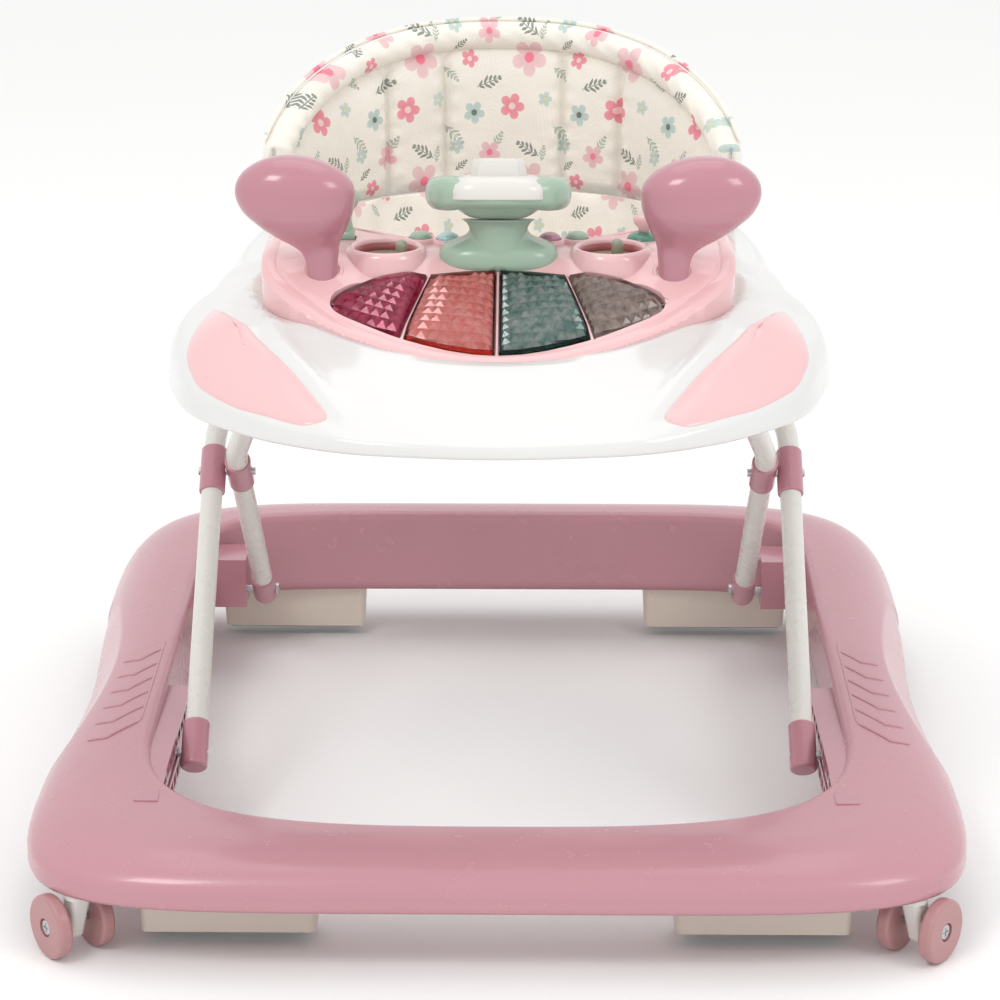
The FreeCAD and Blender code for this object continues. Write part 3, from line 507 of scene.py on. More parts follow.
def ring_stations():
    """Matching points of the outer rim and of the foot well's edge, all the way round."""
    found = []
    for corner in range(4):
        centre_y = SIDE_STRAIGHT if corner < 2 else -SIDE_STRAIGHT
        outer_y = BASE_Y - SIDE_STRAIGHT
        well_y = (WELL_REAR if corner < 2 else -WELL_FRONT) - SIDE_STRAIGHT
        power = 6.5 if corner < 2 else 3.2
        for i in range(CORNERS):
            angle = math.pi / 2 * (corner + i / CORNERS)
            ox, oy = superellipse(BASE_X, outer_y, 5.7, angle)
            wx, wy = superellipse(WELL_X, well_y, power, angle)
            found.append((Vector((ox, centre_y + oy, 0)), Vector((wx, centre_y + wy, 0))))
        if corner % 2 == 1:
            side = -1 if corner == 1 else 1
            for i in range(STRAIGHT):
                y = lerp(SIDE_STRAIGHT, -SIDE_STRAIGHT, i / STRAIGHT) * (1 if corner == 1 else -1)
                found.append((Vector((side * BASE_X, y, 0)), Vector((side * WELL_X, y, 0))))
    out = []
    for outer, well in found:
        side_share = smooth(0.20, 0.30, abs(outer.x))
        outer.x -= math.copysign(waist(outer.y) * side_share, outer.x)
        out.append((outer, well))
    return out


def crest(y):
    return TOP_MID + TOP_SLOPE * y


def scoop_width(outer):
    """The width of the crescent scooped out of each side of the base."""
    if abs(outer.x) < 0.25:
        return 0.0
    inside = 1 - ((outer.y + 0.005) / 0.165) ** 2
    return 0.022 * math.sqrt(inside) if inside > 0 else 0.0


def top_height(outer, width, a):
    """Height of the base's upper surface at a distance a from its rim."""
    peak = crest(outer.y)
    start = RIM_Z + 0.010
    reach = width * 0.80
    if a >= reach:
        return peak
    rise = (1 - (1 - a / reach) ** 2.3) ** 0.5
    height = start + (peak - start) * rise
    scoop = scoop_width(outer)
    if a < scoop:
        edge = (1 - (1 - scoop / reach) ** 2.3) ** 0.5
        edge_height = start + (peak - start) * edge
        t = a / scoop
        flat = lerp(start, edge_height, t ** 0.85)
        height = min(height, flat) - 0.0015 * math.sin(math.pi * t)
    return height


def ring_section(outer, well):
    width = (well - outer).length
    scoop = max(scoop_width(outer), 0.004)
    fall = 0.007
    steps = [(0.0008, RIM_Z), (0.0, RIM_Z + 0.002), (0.0, RIM_Z + 0.006), (0.0006, RIM_Z + 0.0085)]
    points = list(steps)
    for i in range(1, 13):
        a = scoop * (i / 12) ** 1.4
        points.append((a, top_height(outer, width, a)))
    inner_end = width - fall
    for i in range(1, 25):
        a = scoop + (inner_end - scoop) * (i / 24) ** 1.1
        points.append((a, top_height(outer, width, a)))
    peak = crest(outer.y)
    for i in range(1, 8):
        t = math.pi / 2 * i / 7
        points.append((inner_end + fall * math.sin(t), peak - fall * (1 - math.cos(t))))
    base = RIM_Z + 0.0005
    for i in range(1, 9):
        points.append((width, lerp(peak - fall, base, i / 8)))
    return points


def base_point(outer, well, a, height):
    along = (well - outer).normalized()
    spot = outer + along * a
    return Vector((spot.x, spot.y, height))


def side_surface(side, x, y):
    """A point on the base's side, at a given distance out and a given place along."""
    outer = Vector((side * (BASE_X - waist(y)), y, 0))
    well = Vector((side * WELL_X, y, 0))
    width = abs(outer.x - well.x)
    a = abs(outer.x) - x
    return Vector((side * x, y, top_height(outer, width, a)))


def chevrons():
    """Six raised V lines on each side, and the line that ends them."""
    made = []
    for side in (-1, 1):
        inner_ends = []
        for i in range(6):
            y = -0.022 - 0.0272 * i
            grow = 1 + 0.09 * i
            outer_x = BASE_X - waist(y) - 0.0285
            vertex_x = outer_x - 0.0135
            inner_x = WELL_X + 0.0105
            rise = 0.019 * grow
            legs = [(outer_x, y + 0.001), (vertex_x, y), (inner_x, y + rise)]
            path = []
            for (x0, y0), (x1, y1) in zip(legs, legs[1:]):
                path += [side_surface(side, lerp(x0, x1, k / 8), lerp(y0, y1, k / 8)) for k in range(9)]
            clean = [path[0]] + [p for p, q in zip(path[1:], path) if (p - q).length > 1e-5]
            made.append(tube_along("chevron", clean, 0.0013, MAT["base_pink"], 8, 0.7))
            inner_ends.append((inner_x, y + rise))
        x0, y0 = inner_ends[0]
        x1, y1 = inner_ends[-1]
        edge = [side_surface(side, lerp(x0 - 0.001, x1, k / 40), lerp(y0 + 0.016, y1, k / 40))
                for k in range(41)]
        made.append(tube_along("chevron", edge, 0.0010, MAT["base_pink"], 8, 0.6))
    return made


def make_base():
    grid = []
    for outer, well in ring_stations():
        grid.append([base_point(outer, well, a, h) for a, h in ring_section(outer, well)])
    ring = grid_object("base_ring", grid, MAT["base_pink"], close_rows=True)
    modifier(ring, "SOLIDIFY", thickness=0.003, offset=-1.0)
    apply_modifiers(ring)
    ring = join("base_ring", [ring] + chevrons())
    stand_in(ring, "base_shell", "base")


# ---- tray -------------------------------------------------------------------------
TRAY_HALF = [(0, -0.319), (0.050, -0.315), (0.097, -0.306), (0.141, -0.284), (0.171, -0.259),
             (0.194, -0.234), (0.210, -0.205), (0.221, -0.167), (0.228, -0.130), (0.229, -0.095),
             (0.224, -0.062), (0.2145, -0.035), (0.2085, -0.005), (0.2065, 0.040), (0.204, 0.090),
             (0.196, 0.140), (0.176, 0.185), (0.140, 0.224), (0.080, 0.255), (0, 0.265)]
SWOOSH = [(0.150, -0.040), (0.166, -0.060), (0.172, -0.094), (0.163, -0.155), (0.141, -0.214),
          (0.120, -0.250), (0.100, -0.280), (0.076, -0.299)]


def tray_edge():
    """The tray's outline by angle about the seat's centre, for looking up the rim's distance."""
    half = [(x, y) for x, y in TRAY_HALF]
    loop = half + [(-x, y) for x, y in reversed(half) if x > 0]
    points = spline(loop, 720, closed=True)
    table = []
    for x, y in points:
        offset = Vector((x - SEAT.x, y - SEAT.y))
        table.append((math.atan2(offset.y, offset.x), offset.length))
    table.sort()
    return np.array(table)


EDGE = tray_edge()
SWOOSH_PATH = np.array([p for p in spline(SWOOSH, 60)])


def rim_distance(angle):
    return float(np.interp(angle, EDGE[:, 0], EDGE[:, 1], period=2 * math.pi))


def bonnet_height(x, y):
    """The height that the tray's upper surface would have without its rounded rim."""
    rise = TRAY_LOW + 0.012 + 0.36 * (y + 0.319)
    full = TRAY_TOP + 0.0015
    blend = smooth(-0.006, 0.006, full - rise)
    fender = 0.010 * smooth(0.178, 0.205, abs(x)) * smooth(-0.018, -0.05, y) * smooth(-0.2, -0.12, y)
    return lerp(full, min(rise, full), blend) - fender


def tray_height(x, y):
    """Height of the tray's upper surface over a place inside its rim."""
    offset = Vector((x - SEAT.x, y - SEAT.y))
    angle = math.atan2(offset.y, offset.x)
    a = max(rim_distance(angle) - offset.length, 0.0)
    start = TRAY_LOW + 0.007
    front = smooth(-0.10, -0.26, y)
    reach = lerp(0.040, 0.062, front)
    rise = (1 - (1 - min(a / reach, 1.0)) ** 2.2) ** 0.5
    height = start + (bonnet_height(x, y) - start) * rise
    to_path = np.hypot(SWOOSH_PATH[:, 0] - abs(x), SWOOSH_PATH[:, 1] - y)
    near = int(to_path.argmin())
    fade = min(1.0, near / 8, (59 - near) / 14)
    height += 0.0042 * fade * bump(float(to_path.min()), 0.0065) * min(1.0, a / 0.012)
    return height


def make_tray():
    rows = 480
    inner = SEAT_R + 0.001
    grid = []
    for i in range(rows):
        angle = 2 * math.pi * i / rows - math.pi
        reach = rim_distance(angle)
        out = Vector((math.cos(angle), math.sin(angle), 0))
        width = reach - inner
        row = []
        for a, h in ((0.0030, 0.0), (0.0008, 0.0004), (-0.0002, 0.002), (0.0, 0.0048), (0.0008, 0.0068)):
            spot = SEAT + out * (reach - a)
            row.append(Vector((spot.x, spot.y, TRAY_LOW + h)))
        steps = 46
        for j in range(1, steps + 1):
            a = 0.0008 + (width - 0.0068) * (j / steps) ** 1.5
            spot = SEAT + out * (reach - a)
            sunk = console_pocket(spot.x, spot.y) if spot.y < -0.03 else 0.0
            row.append(Vector((spot.x, spot.y, tray_height(spot.x, spot.y) - sunk)))
        top = row[-1].z
        for j in range(1, 5):
            t = math.pi / 2 * j / 4
            spot = SEAT + out * (inner + 0.006 * (1 - math.sin(t)))
            row.append(Vector((spot.x, spot.y, top - 0.006 * (1 - math.cos(t)))))
        for drop in (0.014, 0.024, 0.036):
            spot = SEAT + out * inner
            row.append(Vector((spot.x, spot.y, TRAY_TOP - drop)))
        grid.append(row)
    tray = grid_object("tray_moulding", grid, MAT["tray_white"], close_rows=True)
    modifier(tray, "SOLIDIFY", thickness=0.0026, offset=-1.0)
    apply_modifiers(tray)
    stand_in(tray, "tray_shell", "tray")


HEADLIGHT = [(0.1969, -0.1373), (0.2034, -0.168), (0.2075, -0.186), (0.2050, -0.2038),
             (0.1920, -0.2310), (0.1630, -0.2618), (0.1281, -0.2860), (0.1127, -0.2885),
             (0.1080, -0.2850), (0.1136, -0.2749), (0.1340, -0.2435), (0.1617, -0.2053),
             (0.1802, -0.1747), (0.1881, -0.1585)]


def patch_on_tray(name, outline, lift, material, side):
    """A thin inlay that follows the tray's surface, with its edge rolled down into it."""
    loop = [Vector((x * side, y, 0)) for x, y in spline(outline, 140, closed=True)]
    centre = sum(loop, Vector()) / len(loop)
    grid = []
    for share, rise in ((1.0, -0.0012), (1.0, 0.0), (0.992, 0.55), (0.975, 0.85), (0.95, 1.0), (0.85, 1.0),
                        (0.7, 1.0), (0.55, 1.0), (0.4, 1.0), (0.25, 1.0), (0.1, 1.0)):
        row = []
        for p in loop:
            spot = centre.lerp(p, share)
            height = tray_height(spot.x, spot.y)
            row.append(Vector((spot.x, spot.y, height + (rise if rise < 0 else lift * rise))))
        grid.append(row)
    return grid_object(name, grid, material, False, True, caps=True)


def make_headlights():
    patches = [patch_on_tray("headlight", HEADLIGHT, 0.0012, MAT["light_pink"], side) for side in (-1, 1)]
    lights = join("headlight_inlays", patches)
    stand_in(lights, "headlights", "tray")


# ---- console ------------------------------------------------------------------------
CONSOLE_HALF = [(0, -0.238), (0.028, -0.2355), (0.054, -0.2295), (0.081, -0.2195), (0.109, -0.2055),
                (0.133, -0.189), (0.149, -0.172), (0.158, -0.157), (0.1605, -0.142),
                (0.1605, -0.120), (0.160, -0.098), (0.158, -0.070), (0.154, -0.045),
                (0.147, -0.036)]
CONSOLE_CENTRE = Vector((0, -0.145, 0))
MIRROR_FOOT = Vector(JOINTS["mirror_turn_right"]["pos_m"])
MIRROR_SWELL = 0.0040
CONSOLE_TILT = 0.494
SLOPE_UP = Vector((0, -CONSOLE_TILT, 1)).normalized()


def console_plane(y):
    return TRAY_LOW + 0.040 + CONSOLE_TILT * (y + 0.238)


def console_height(y):
    """The panel's surface: a slope in front that rolls over into a flat top."""
    plane = console_plane(y)
    k = 0.007
    h = max(k - abs(plane - CONSOLE_Z), 0) / k
    return min(plane, CONSOLE_Z) - h * h * k / 4


def console_edge():
    front = [tuple(p) for p in spline(CONSOLE_HALF, 120)]
    rear = []
    reach = SEAT_R + 0.008
    start = math.asin(0.131 / reach)
    for i in range(1, 40):
        angle = start * (1 - i / 39)
        rear.append((reach * math.sin(angle), SEAT.y - reach * math.cos(angle)))
    half = front + rear
    loop = half + [(-x, y) for x, y in reversed(half) if x > 1e-6]
    return np.array(loop)


CONSOLE_LOOP = console_edge()


def console_inside(x, y):
    """Distance in from the panel's outline."""
    return float(np.hypot(CONSOLE_LOOP[:, 0] - x, CONSOLE_LOOP[:, 1] - y).min())


def console_reach():
    """The panel's outline by angle about its middle."""
    offsets = CONSOLE_LOOP - np.array([CONSOLE_CENTRE.x, CONSOLE_CENTRE.y])
    turns = np.arctan2(offsets[:, 1], offsets[:, 0])
    table = np.stack([turns, np.hypot(offsets[:, 0], offsets[:, 1])], axis=1)
    return table[table[:, 0].argsort()]


CONSOLE_REACH = console_reach()
POCKET_DEPTH = 0.011


def boundary_reach(angle, table):
    return float(np.interp(angle, table[:, 0], table[:, 1], period=2 * math.pi))


def console_pocket(x, y):
    """How far the tray is sunk under the console, for the keys to be pressed into."""
    offset = Vector((x - CONSOLE_CENTRE.x, y - CONSOLE_CENTRE.y))
    inside = boundary_reach(math.atan2(offset.y, offset.x), CONSOLE_REACH) - offset.length
    return POCKET_DEPTH * smooth(0.0035, 0.0070, inside)


def panel_surface(x, y):
    d = console_inside(x, y)
    height = console_height(y)
    rear = smooth(-0.105, -0.085, y)
    height -= 0.0022 * (1 - min(1.0, d / 0.0022) ** 0.5)
    height += 0.0010 * bump(d - 0.0050, 0.0032) * (1 - rear)
    from_mirror = math.hypot(abs(x) - MIRROR_FOOT.x, y - MIRROR_FOOT.y)
    height += MIRROR_SWELL * smooth(0.042, 0.014, from_mirror) * smooth(0.092, 0.106, abs(x))
    step = smooth(0.060, 0.110, abs(x)) * (1 - rear)
    height += 0.0009 * step * smooth(0.0098, 0.0112, d)
    height -= 0.0006 * step * bump(d - 0.0098, 0.0006)
    return height


def make_console_panel():
    near_edge = [0.0, 0.0005, 0.0014, 0.0026, 0.0040, 0.0055, 0.0070, 0.0084, 0.0092, 0.0097, 0.0102, 0.0108,
                 0.0116, 0.0135, 0.017]
    shares = [0.90, 0.8, 0.7, 0.6, 0.5, 0.4, 0.3, 0.2, 0.1, 0.03]
    rays = 420
    grid = []
    for i in range(rays):
        angle = 2 * math.pi * i / rays - math.pi
        out = Vector((math.cos(angle), math.sin(angle), 0))
        reach = boundary_reach(angle, CONSOLE_REACH)
        row = []
        for share in (0.03, 0.3, 0.6, 0.82, 0.90, 0.93, 0.95, 0.97):
            spot = CONSOLE_CENTRE + out * (reach * share)
            under = tray_height(spot.x, spot.y) - console_pocket(spot.x, spot.y)
            row.append(Vector((spot.x, spot.y, under - 0.0015)))
        edge = CONSOLE_CENTRE + out * reach
        row.append(Vector((edge.x, edge.y, tray_height(edge.x, edge.y) - 0.0015)))
        for a in near_edge:
            spot = CONSOLE_CENTRE + out * (reach - a)
            row.append(Vector((spot.x, spot.y, panel_surface(spot.x, spot.y))))
        rest = reach - near_edge[-1]
        for share in shares:
            spot = CONSOLE_CENTRE + out * (rest * share)
            row.append(Vector((spot.x, spot.y, panel_surface(spot.x, spot.y))))
        grid.append(row)
    flat = [list(column) for column in zip(*grid)]
    return grid_object("console", flat, MAT["light_pink"], False, True, caps=True)


def prism(name, outline, bottom, top):
    """A vertical block over an outline."""
    grid = [[Vector((x, y, z)) for x, y in outline] for z in (bottom, top)]
    return grid_object(name, grid, MAT["light_pink"], False, True, caps=True)


def carve(target, cutters):
    """Cuts several blocks out of a closed piece."""
    for cutter in cutters:
        mod = modifier(target, "BOOLEAN", operation="DIFFERENCE", object=cutter, solver="EXACT")
        mod.use_hole_tolerant = True
    graph = bpy.context.evaluated_depsgraph_get()
    mesh = bpy.data.meshes.new_from_object(target.evaluated_get(graph))
    target.modifiers.clear()
    target.data = mesh
    for cutter in cutters:
        bpy.data.objects.remove(cutter)
    sharpen(target, 34)


def sharpen(obj, degrees):
    """Smooth shading that breaks at edges steeper than this."""
    bm = bmesh.new()
    bm.from_mesh(obj.data)
    for edge in bm.edges:
        steep = len(edge.link_faces) == 2 and edge.calc_face_angle(0) > math.radians(degrees)
        edge.smooth = not steep
    for face in bm.faces:
        face.smooth = True
    bm.to_mesh(obj.data)
    bm.free()


# ---- light-up keys --------------------------------------------------------------------
OUTER_KEY = [(0.0475, -0.1575), (0.0575, -0.1548), (0.068, -0.1550), (0.080, -0.1588),
             (0.092, -0.1650), (0.103, -0.1720), (0.1095, -0.1790), (0.1112, -0.1855),
             (0.1085, -0.1905), (0.1005, -0.1955), (0.090, -0.2010), (0.076, -0.2080),
             (0.0640, -0.2135)]
OUTER_KEY_SIDE = [(0.0610, -0.2010), (0.0570, -0.1880), (0.0525, -0.1740)]
INNER_KEY = [(0.0012, -0.1535), (0.022, -0.1545), (0.0455, -0.1575)]
INNER_KEY_SIDE = [(0.0505, -0.1720), (0.0552, -0.1870), (0.0592, -0.2010), (0.0615, -0.2145)]
INNER_KEY_FRONT = [(0.048, -0.2195), (0.032, -0.2245), (0.016, -0.2280), (0.0012, -0.2292)]
KEYS = {
    "gem_key_magenta": (-1, True, "gem_magenta"),
    "gem_key_coral": (-1, False, "gem_coral"),
    "gem_key_teal": (1, False, "gem_teal"),
    "gem_key_taupe": (1, True, "gem_taupe"),
}


LENS_STEPS = (0.985, 0.96, 0.92, 0.86, 0.78, 0.68, 0.56, 0.42, 0.28, 0.12)
SKIRT = 0.0030
KEY_GAP = 0.0010
KEY_TRAVEL_ROOM = 0.0092
CUT_ABOVE = 0.03
FAN_Y = 0.022


def dense(points, gap):
    """The same polyline with its points no further apart than gap."""
    found = []
    for a, b in zip(points, points[1:] + points[:1]):
        a, b = np.array(a), np.array(b)
        steps = max(1, int(np.hypot(*(b - a)) / gap))
        found += [tuple(a + (b - a) * k / steps) for k in range(steps)]
    return found


def key_outline(outer, side):
    if outer:
        curve = [tuple(p) for p in spline(OUTER_KEY, 60)] + OUTER_KEY_SIDE
    else:
        curve = INNER_KEY + INNER_KEY_SIDE + INNER_KEY_FRONT
    loop = dense(curve, 0.0022)
    return [(x * side, y) for x, y in loop]


def inset(loop, amount):
    """The outline drawn in (or out, if negative) by a distance."""
    pts = np.array(loop)
    ahead = np.roll(pts, -1, axis=0) - np.roll(pts, 1, axis=0)
    ahead /= np.linalg.norm(ahead, axis=1)[:, None]
    normal = np.stack([-ahead[:, 1], ahead[:, 0]], axis=1)
    area = 0.5 * float(np.sum(pts[:, 0] * np.roll(pts[:, 1], -1) - np.roll(pts[:, 0], -1) * pts[:, 1]))
    if area < 0:
        normal = -normal
    return [tuple(p) for p in pts + normal * amount]


def edge_distance(loop, x, y):
    pts = np.array(loop)
    return float(np.hypot(pts[:, 0] - x, pts[:, 1] - y).min())


def dome_rise(d, full):
    return full * (1 - (1 - min(d / 0.022, 1.0)) ** 2.2) ** 0.6


def on_slope(x, y, lift):
    """A place over the console's slope; under it, skirts and windows run square to the slope."""
    spot = Vector((x, y, console_plane(y)))
    return spot + (SLOPE_UP if lift < 0 else Vector((0, 0, 1))) * lift


def lens(name, loop, base, full, material):
    """A smooth domed cover over an outline, measured up from the console's slope."""
    centre = np.mean(np.array(loop), axis=0)
    grid = []
    levels = [(1.0, -SKIRT), (1.0, base)] + [(share, None) for share in LENS_STEPS]
    for share, fixed in levels:
        row = []
        for x, y in loop:
            px, py = centre + (np.array((x, y)) - centre) * share
            d = edge_distance(loop, px, py)
            lift = fixed if fixed is not None else base + dome_rise(d, full)
            row.append(on_slope(px, py, lift))
        grid.append(row)
    return grid_object(name, grid, material, False, True, caps=True)


def facets(name, loop, base, full, material, pitch=0.0066, depth=0.0021):
    """Rows of four-sided points inside a key, seen through its lens."""
    verts = []
    faces = []
    centre = Vector((0, FAN_Y))
    reaches = [math.hypot(x, y - FAN_Y) for x, y in loop]
    reach_low, reach_high = min(reaches), max(reaches)
    step = pitch / ((reach_low + reach_high) / 2)
    angles = [math.atan2(x, -(y - FAN_Y)) for x, y in loop]
    inner = inset(loop, 0.0016)
    polygon = np.array(inner)

    def covered(x, y):
        inside = False
        j = len(polygon) - 1
        for i in range(len(polygon)):
            xi, yi = polygon[i]
            xj, yj = polygon[j]
            if (yi > y) != (yj > y) and x < (xj - xi) * (y - yi) / (yj - yi) + xi:
                inside = not inside
            j = i
        return inside

    def spot(angle, reach, lift):
        x = centre.x + reach * math.sin(angle)
        y = centre.y - reach * math.cos(angle)
        if not covered(x, y):
            near = np.hypot(polygon[:, 0] - x, polygon[:, 1] - y).argmin()
            x, y = polygon[near]
        d = edge_distance(loop, x, y)
        return (x, y, console_plane(y) + base + dome_rise(d, full) - 0.0016 - lift)

    rows = int((reach_high - reach_low) / pitch) + 1
    cols = int((max(angles) - min(angles)) / step) + 1
    for i in range(rows):
        for j in range(cols):
            r0 = reach_low + i * pitch
            a0 = min(angles) + j * step
            if not covered(centre.x + (r0 + pitch / 2) * math.sin(a0 + step / 2),
                           centre.y - (r0 + pitch / 2) * math.cos(a0 + step / 2)):
                continue
            k = len(verts)
            verts += [spot(a0, r0, depth), spot(a0 + step, r0, depth), spot(a0 + step, r0 + pitch, depth),
                      spot(a0, r0 + pitch, depth), spot(a0 + step * 0.5, r0 + pitch * 0.5, 0.0)]
            faces += [(k, k + 1, k + 4), (k + 1, k + 2, k + 4), (k + 2, k + 3, k + 4), (k + 3, k, k + 4)]
    k = len(verts)
    verts += [(x, y, console_plane(y) - 0.0020) for x, y in inner]
    faces.append(tuple(range(k, k + len(inner))))
    return new_object(name, verts, faces, material, smooth_shade=False)


def frame_strip(name, loop, indices, width, height, material):
    """A raised rib along part of a key's outline."""
    pts = np.array(loop)
    inner = np.array(inset(loop, width))
    grid = []
    for i in indices:
        a = pts[i % len(loop)]
        b = inner[i % len(loop)]
        row = []
        for p, lift in ((a, -SKIRT), (a, height - 0.0005), (a * 0.8 + b * 0.2, height),
                        (a * 0.2 + b * 0.8, height), (b, height - 0.0005), (b, -SKIRT)):
            row.append(on_slope(p[0], p[1], lift))
        grid.append(row)
    closed = len(indices) >= len(loop)
    return grid_object(name, grid, material, closed, True, caps=not closed)


def make_keys():
    made = []
    for node, (side, outer, slot_name) in KEYS.items():
        loop = key_outline(outer, side)
        body = inset(loop, 0.6 * KEY_GAP)
        full = 0.0060 if not outer else 0.0050
        parts = [facets(node + "_facets", body, 0.0010, full, MAT[slot_name])]
        cover = LENS[slot_name]
        parts.append(lens(node + "_lens", body, 0.0012, full, cover))
        rib = RIB.get(slot_name)
        if rib:
            parts.append(frame_strip(node + "_rib", body, list(range(len(body))), 0.0014, 0.0024, rib))
        whole = join(node + "_piece", parts)
        stand_in(whole, node, slot_name)
        made.append(inset(loop, -0.4 * KEY_GAP))
    return made


# ---- wells, buttons and small controls --------------------------------------------------
DIALS = {side: Vector((middle("dial_" + word).x, middle("dial_" + word).y, CONSOLE_Z))
         for side, word in ((-1, "left"), (1, "right"))}
PEGS = {-1: (0.0105, -0.001), 1: (0.0045, 0.004)}
BUTTON_LOOK = {"melody_button_1": "sage_green", "melody_button_2": "pale_blue",
               "melody_button_3": "mauve", "melody_button_4": "sage_green"}


WELL_PROUD = 0.0040
# (radius, drop from the well's top)
WELL_RING = [(0.0215, 0.011), (0.0215, 0.0024), (0.0222, 0.0008), (0.0238, 0), (0.0256, 0.0006),
             (0.0272, 0.0026), (0.0281, 0.0055), (0.0290, 0.010), (0.0305, 0.015), (0.0305, 0.022),
             (0.024, 0.022)]
WELL_WALL = [(0.0209, 0.0110), (0.0209, 0.0030), (0.0217, 0.0028), (0.0217, 0.0110)]
PEG_R = 0.0042
PEG_TOP = 0.0125


def disc_outline(centre, radius, steps=48):
    return [(centre.x + radius * math.cos(2 * math.pi * i / steps),
             centre.y + radius * math.sin(2 * math.pi * i / steps)) for i in range(steps)]


def swept_profile(name, centre, profile, material, sides=72):
    """A closed profile turned about a vertical axis, for rings and collars."""
    grid = []
    for i in range(sides):
        a = 2 * math.pi * i / sides
        c, s = math.cos(a), math.sin(a)
        grid.append([Vector((centre.x + r * c, centre.y + r * s, z)) for r, z in profile])
    return grid_object(name, grid, material, True, True)


def make_wells():
    parts = []
    for side, spot in DIALS.items():
        word = "left" if side < 0 else "right"
        top = CONSOLE_Z + WELL_PROUD
        ring = [(r, top - drop) for r, drop in WELL_RING]
        parts.append(swept_profile("well_ring", spot, ring, MAT["light_pink"]))
        wall = [(r, top - drop) for r, drop in WELL_WALL]
        parts.append(swept_profile("well_wall", spot, wall, WELL_RED))
        floor_z = top - 0.0078
        disc = turned("dial_disc", (spot.x, spot.y, floor_z - 0.002), (0, 0, 1),
                      rounded_profile(0.0206, 0, 0.002, 0.0006), DIAL_GREY, 64)
        px, py = PEGS[side]
        neck = PEG_TOP - 0.004
        profile = [(0, 0), (PEG_R, 0), (PEG_R, neck)]
        profile += [(PEG_R * math.cos(a), neck + PEG_R * math.sin(a)) for a in (0.25, 0.5, 0.8, 1.1, 1.35)]
        profile.append((0, PEG_TOP + 0.0002))
        peg = turned("dial_peg", (spot.x + px, spot.y + py, floor_z - 0.0005), (0, 0, 1), profile,
                     DIAL_GREY, 28)
        dial = join("dial_" + word + "_piece", [disc, peg])
        stand_in(dial, "dial_" + word, "dial_body_" + word)
    for node, slot_name in BUTTON_LOOK.items():
        spot = middle(node)
        base = CONSOLE_Z
        r = (high(node).x - low(node).x) / 2
        collar = [(r + 0.0006, base - 0.002), (r + 0.0006, base + 0.0024), (r + 0.0014, base + 0.0032),
                  (r + 0.0026, base + 0.0028), (r + 0.0036, base + 0.0010), (r + 0.0044, base - 0.002)]
        parts.append(swept_profile("button_collar", spot, collar, MAT["light_pink"], 48))
        profile = [(0, 0), (r, 0), (r, 0.0048)]
        for i in range(1, 9):
            a = math.pi / 2 * i / 8
            profile.append((r * math.cos(a), 0.0048 + 0.0042 * math.sin(a)))
        knob = turned(node + "_piece", (spot.x, spot.y, base - 0.0015), (0, 0, 1), profile,
                      MAT[slot_name], 48)
        stand_in(knob, node, "melody_" + node[-1])
    return parts


def make_lever_and_key():
    base = middle("gear_lever")
    top = high("gear_lever").z
    pivot = CONSOLE_Z + 0.001
    barrel = turned("lever_barrel", (base.x - 0.006, base.y, pivot), (1, 0, 0),
                    rounded_profile(0.007, 0, 0.012, 0.001), MAT["sage_green"], 32)
    stem = turned("lever_stem", (base.x, base.y, pivot), (0, 0, 1),
                  [(0, 0), (0.0062, 0), (0.0050, 0.006), (0.0040, 0.012), (0.0038, 0.018), (0, 0.0185)],
                  MAT["sage_green"], 28)
    centre = top - 0.0092
    profile = []
    for i in range(13):
        a = math.pi * (i / 12 - 0.5)
        grow = 1.0 + 0.16 * math.sin(a)
        profile.append((0.0095 * math.cos(a) * grow, 0.0092 * math.sin(a)))
    knob = turned("lever_knob", (base.x, base.y, centre), (0, 0, 1), profile, MAT["sage_green"], 40)
    lever = join("gear_lever_piece", [barrel, stem, knob])
    stand_in(lever, "gear_lever", "gear")

    spot = middle("ignition_key")
    dome = []
    for i in range(9):
        a = math.pi / 2 * i / 8
        dome.append((0.0115 * math.cos(a), 0.0050 * math.sin(a)))
    cap = turned("key_dome", (spot.x, spot.y, CONSOLE_Z + 0.0004), (0, 0, 1), [(0, 0)] + dome,
                 DARK_GREEN, 48)
    blade = turned("key_blade", (spot.x, spot.y, CONSOLE_Z + 0.004), (0, 0, 1),
                   [(0, 0), (0.0030, 0), (0.0032, 0.003), (0.0058, 0.006), (0.0066, 0.009), (0.0056, 0.0118),
                    (0, 0.0125)], MAT["light_pink"], 40, scale=(0.55, 1.5))
    key = join("ignition_key_piece", [cap, blade])
    stand_in(key, "ignition_key", "key")


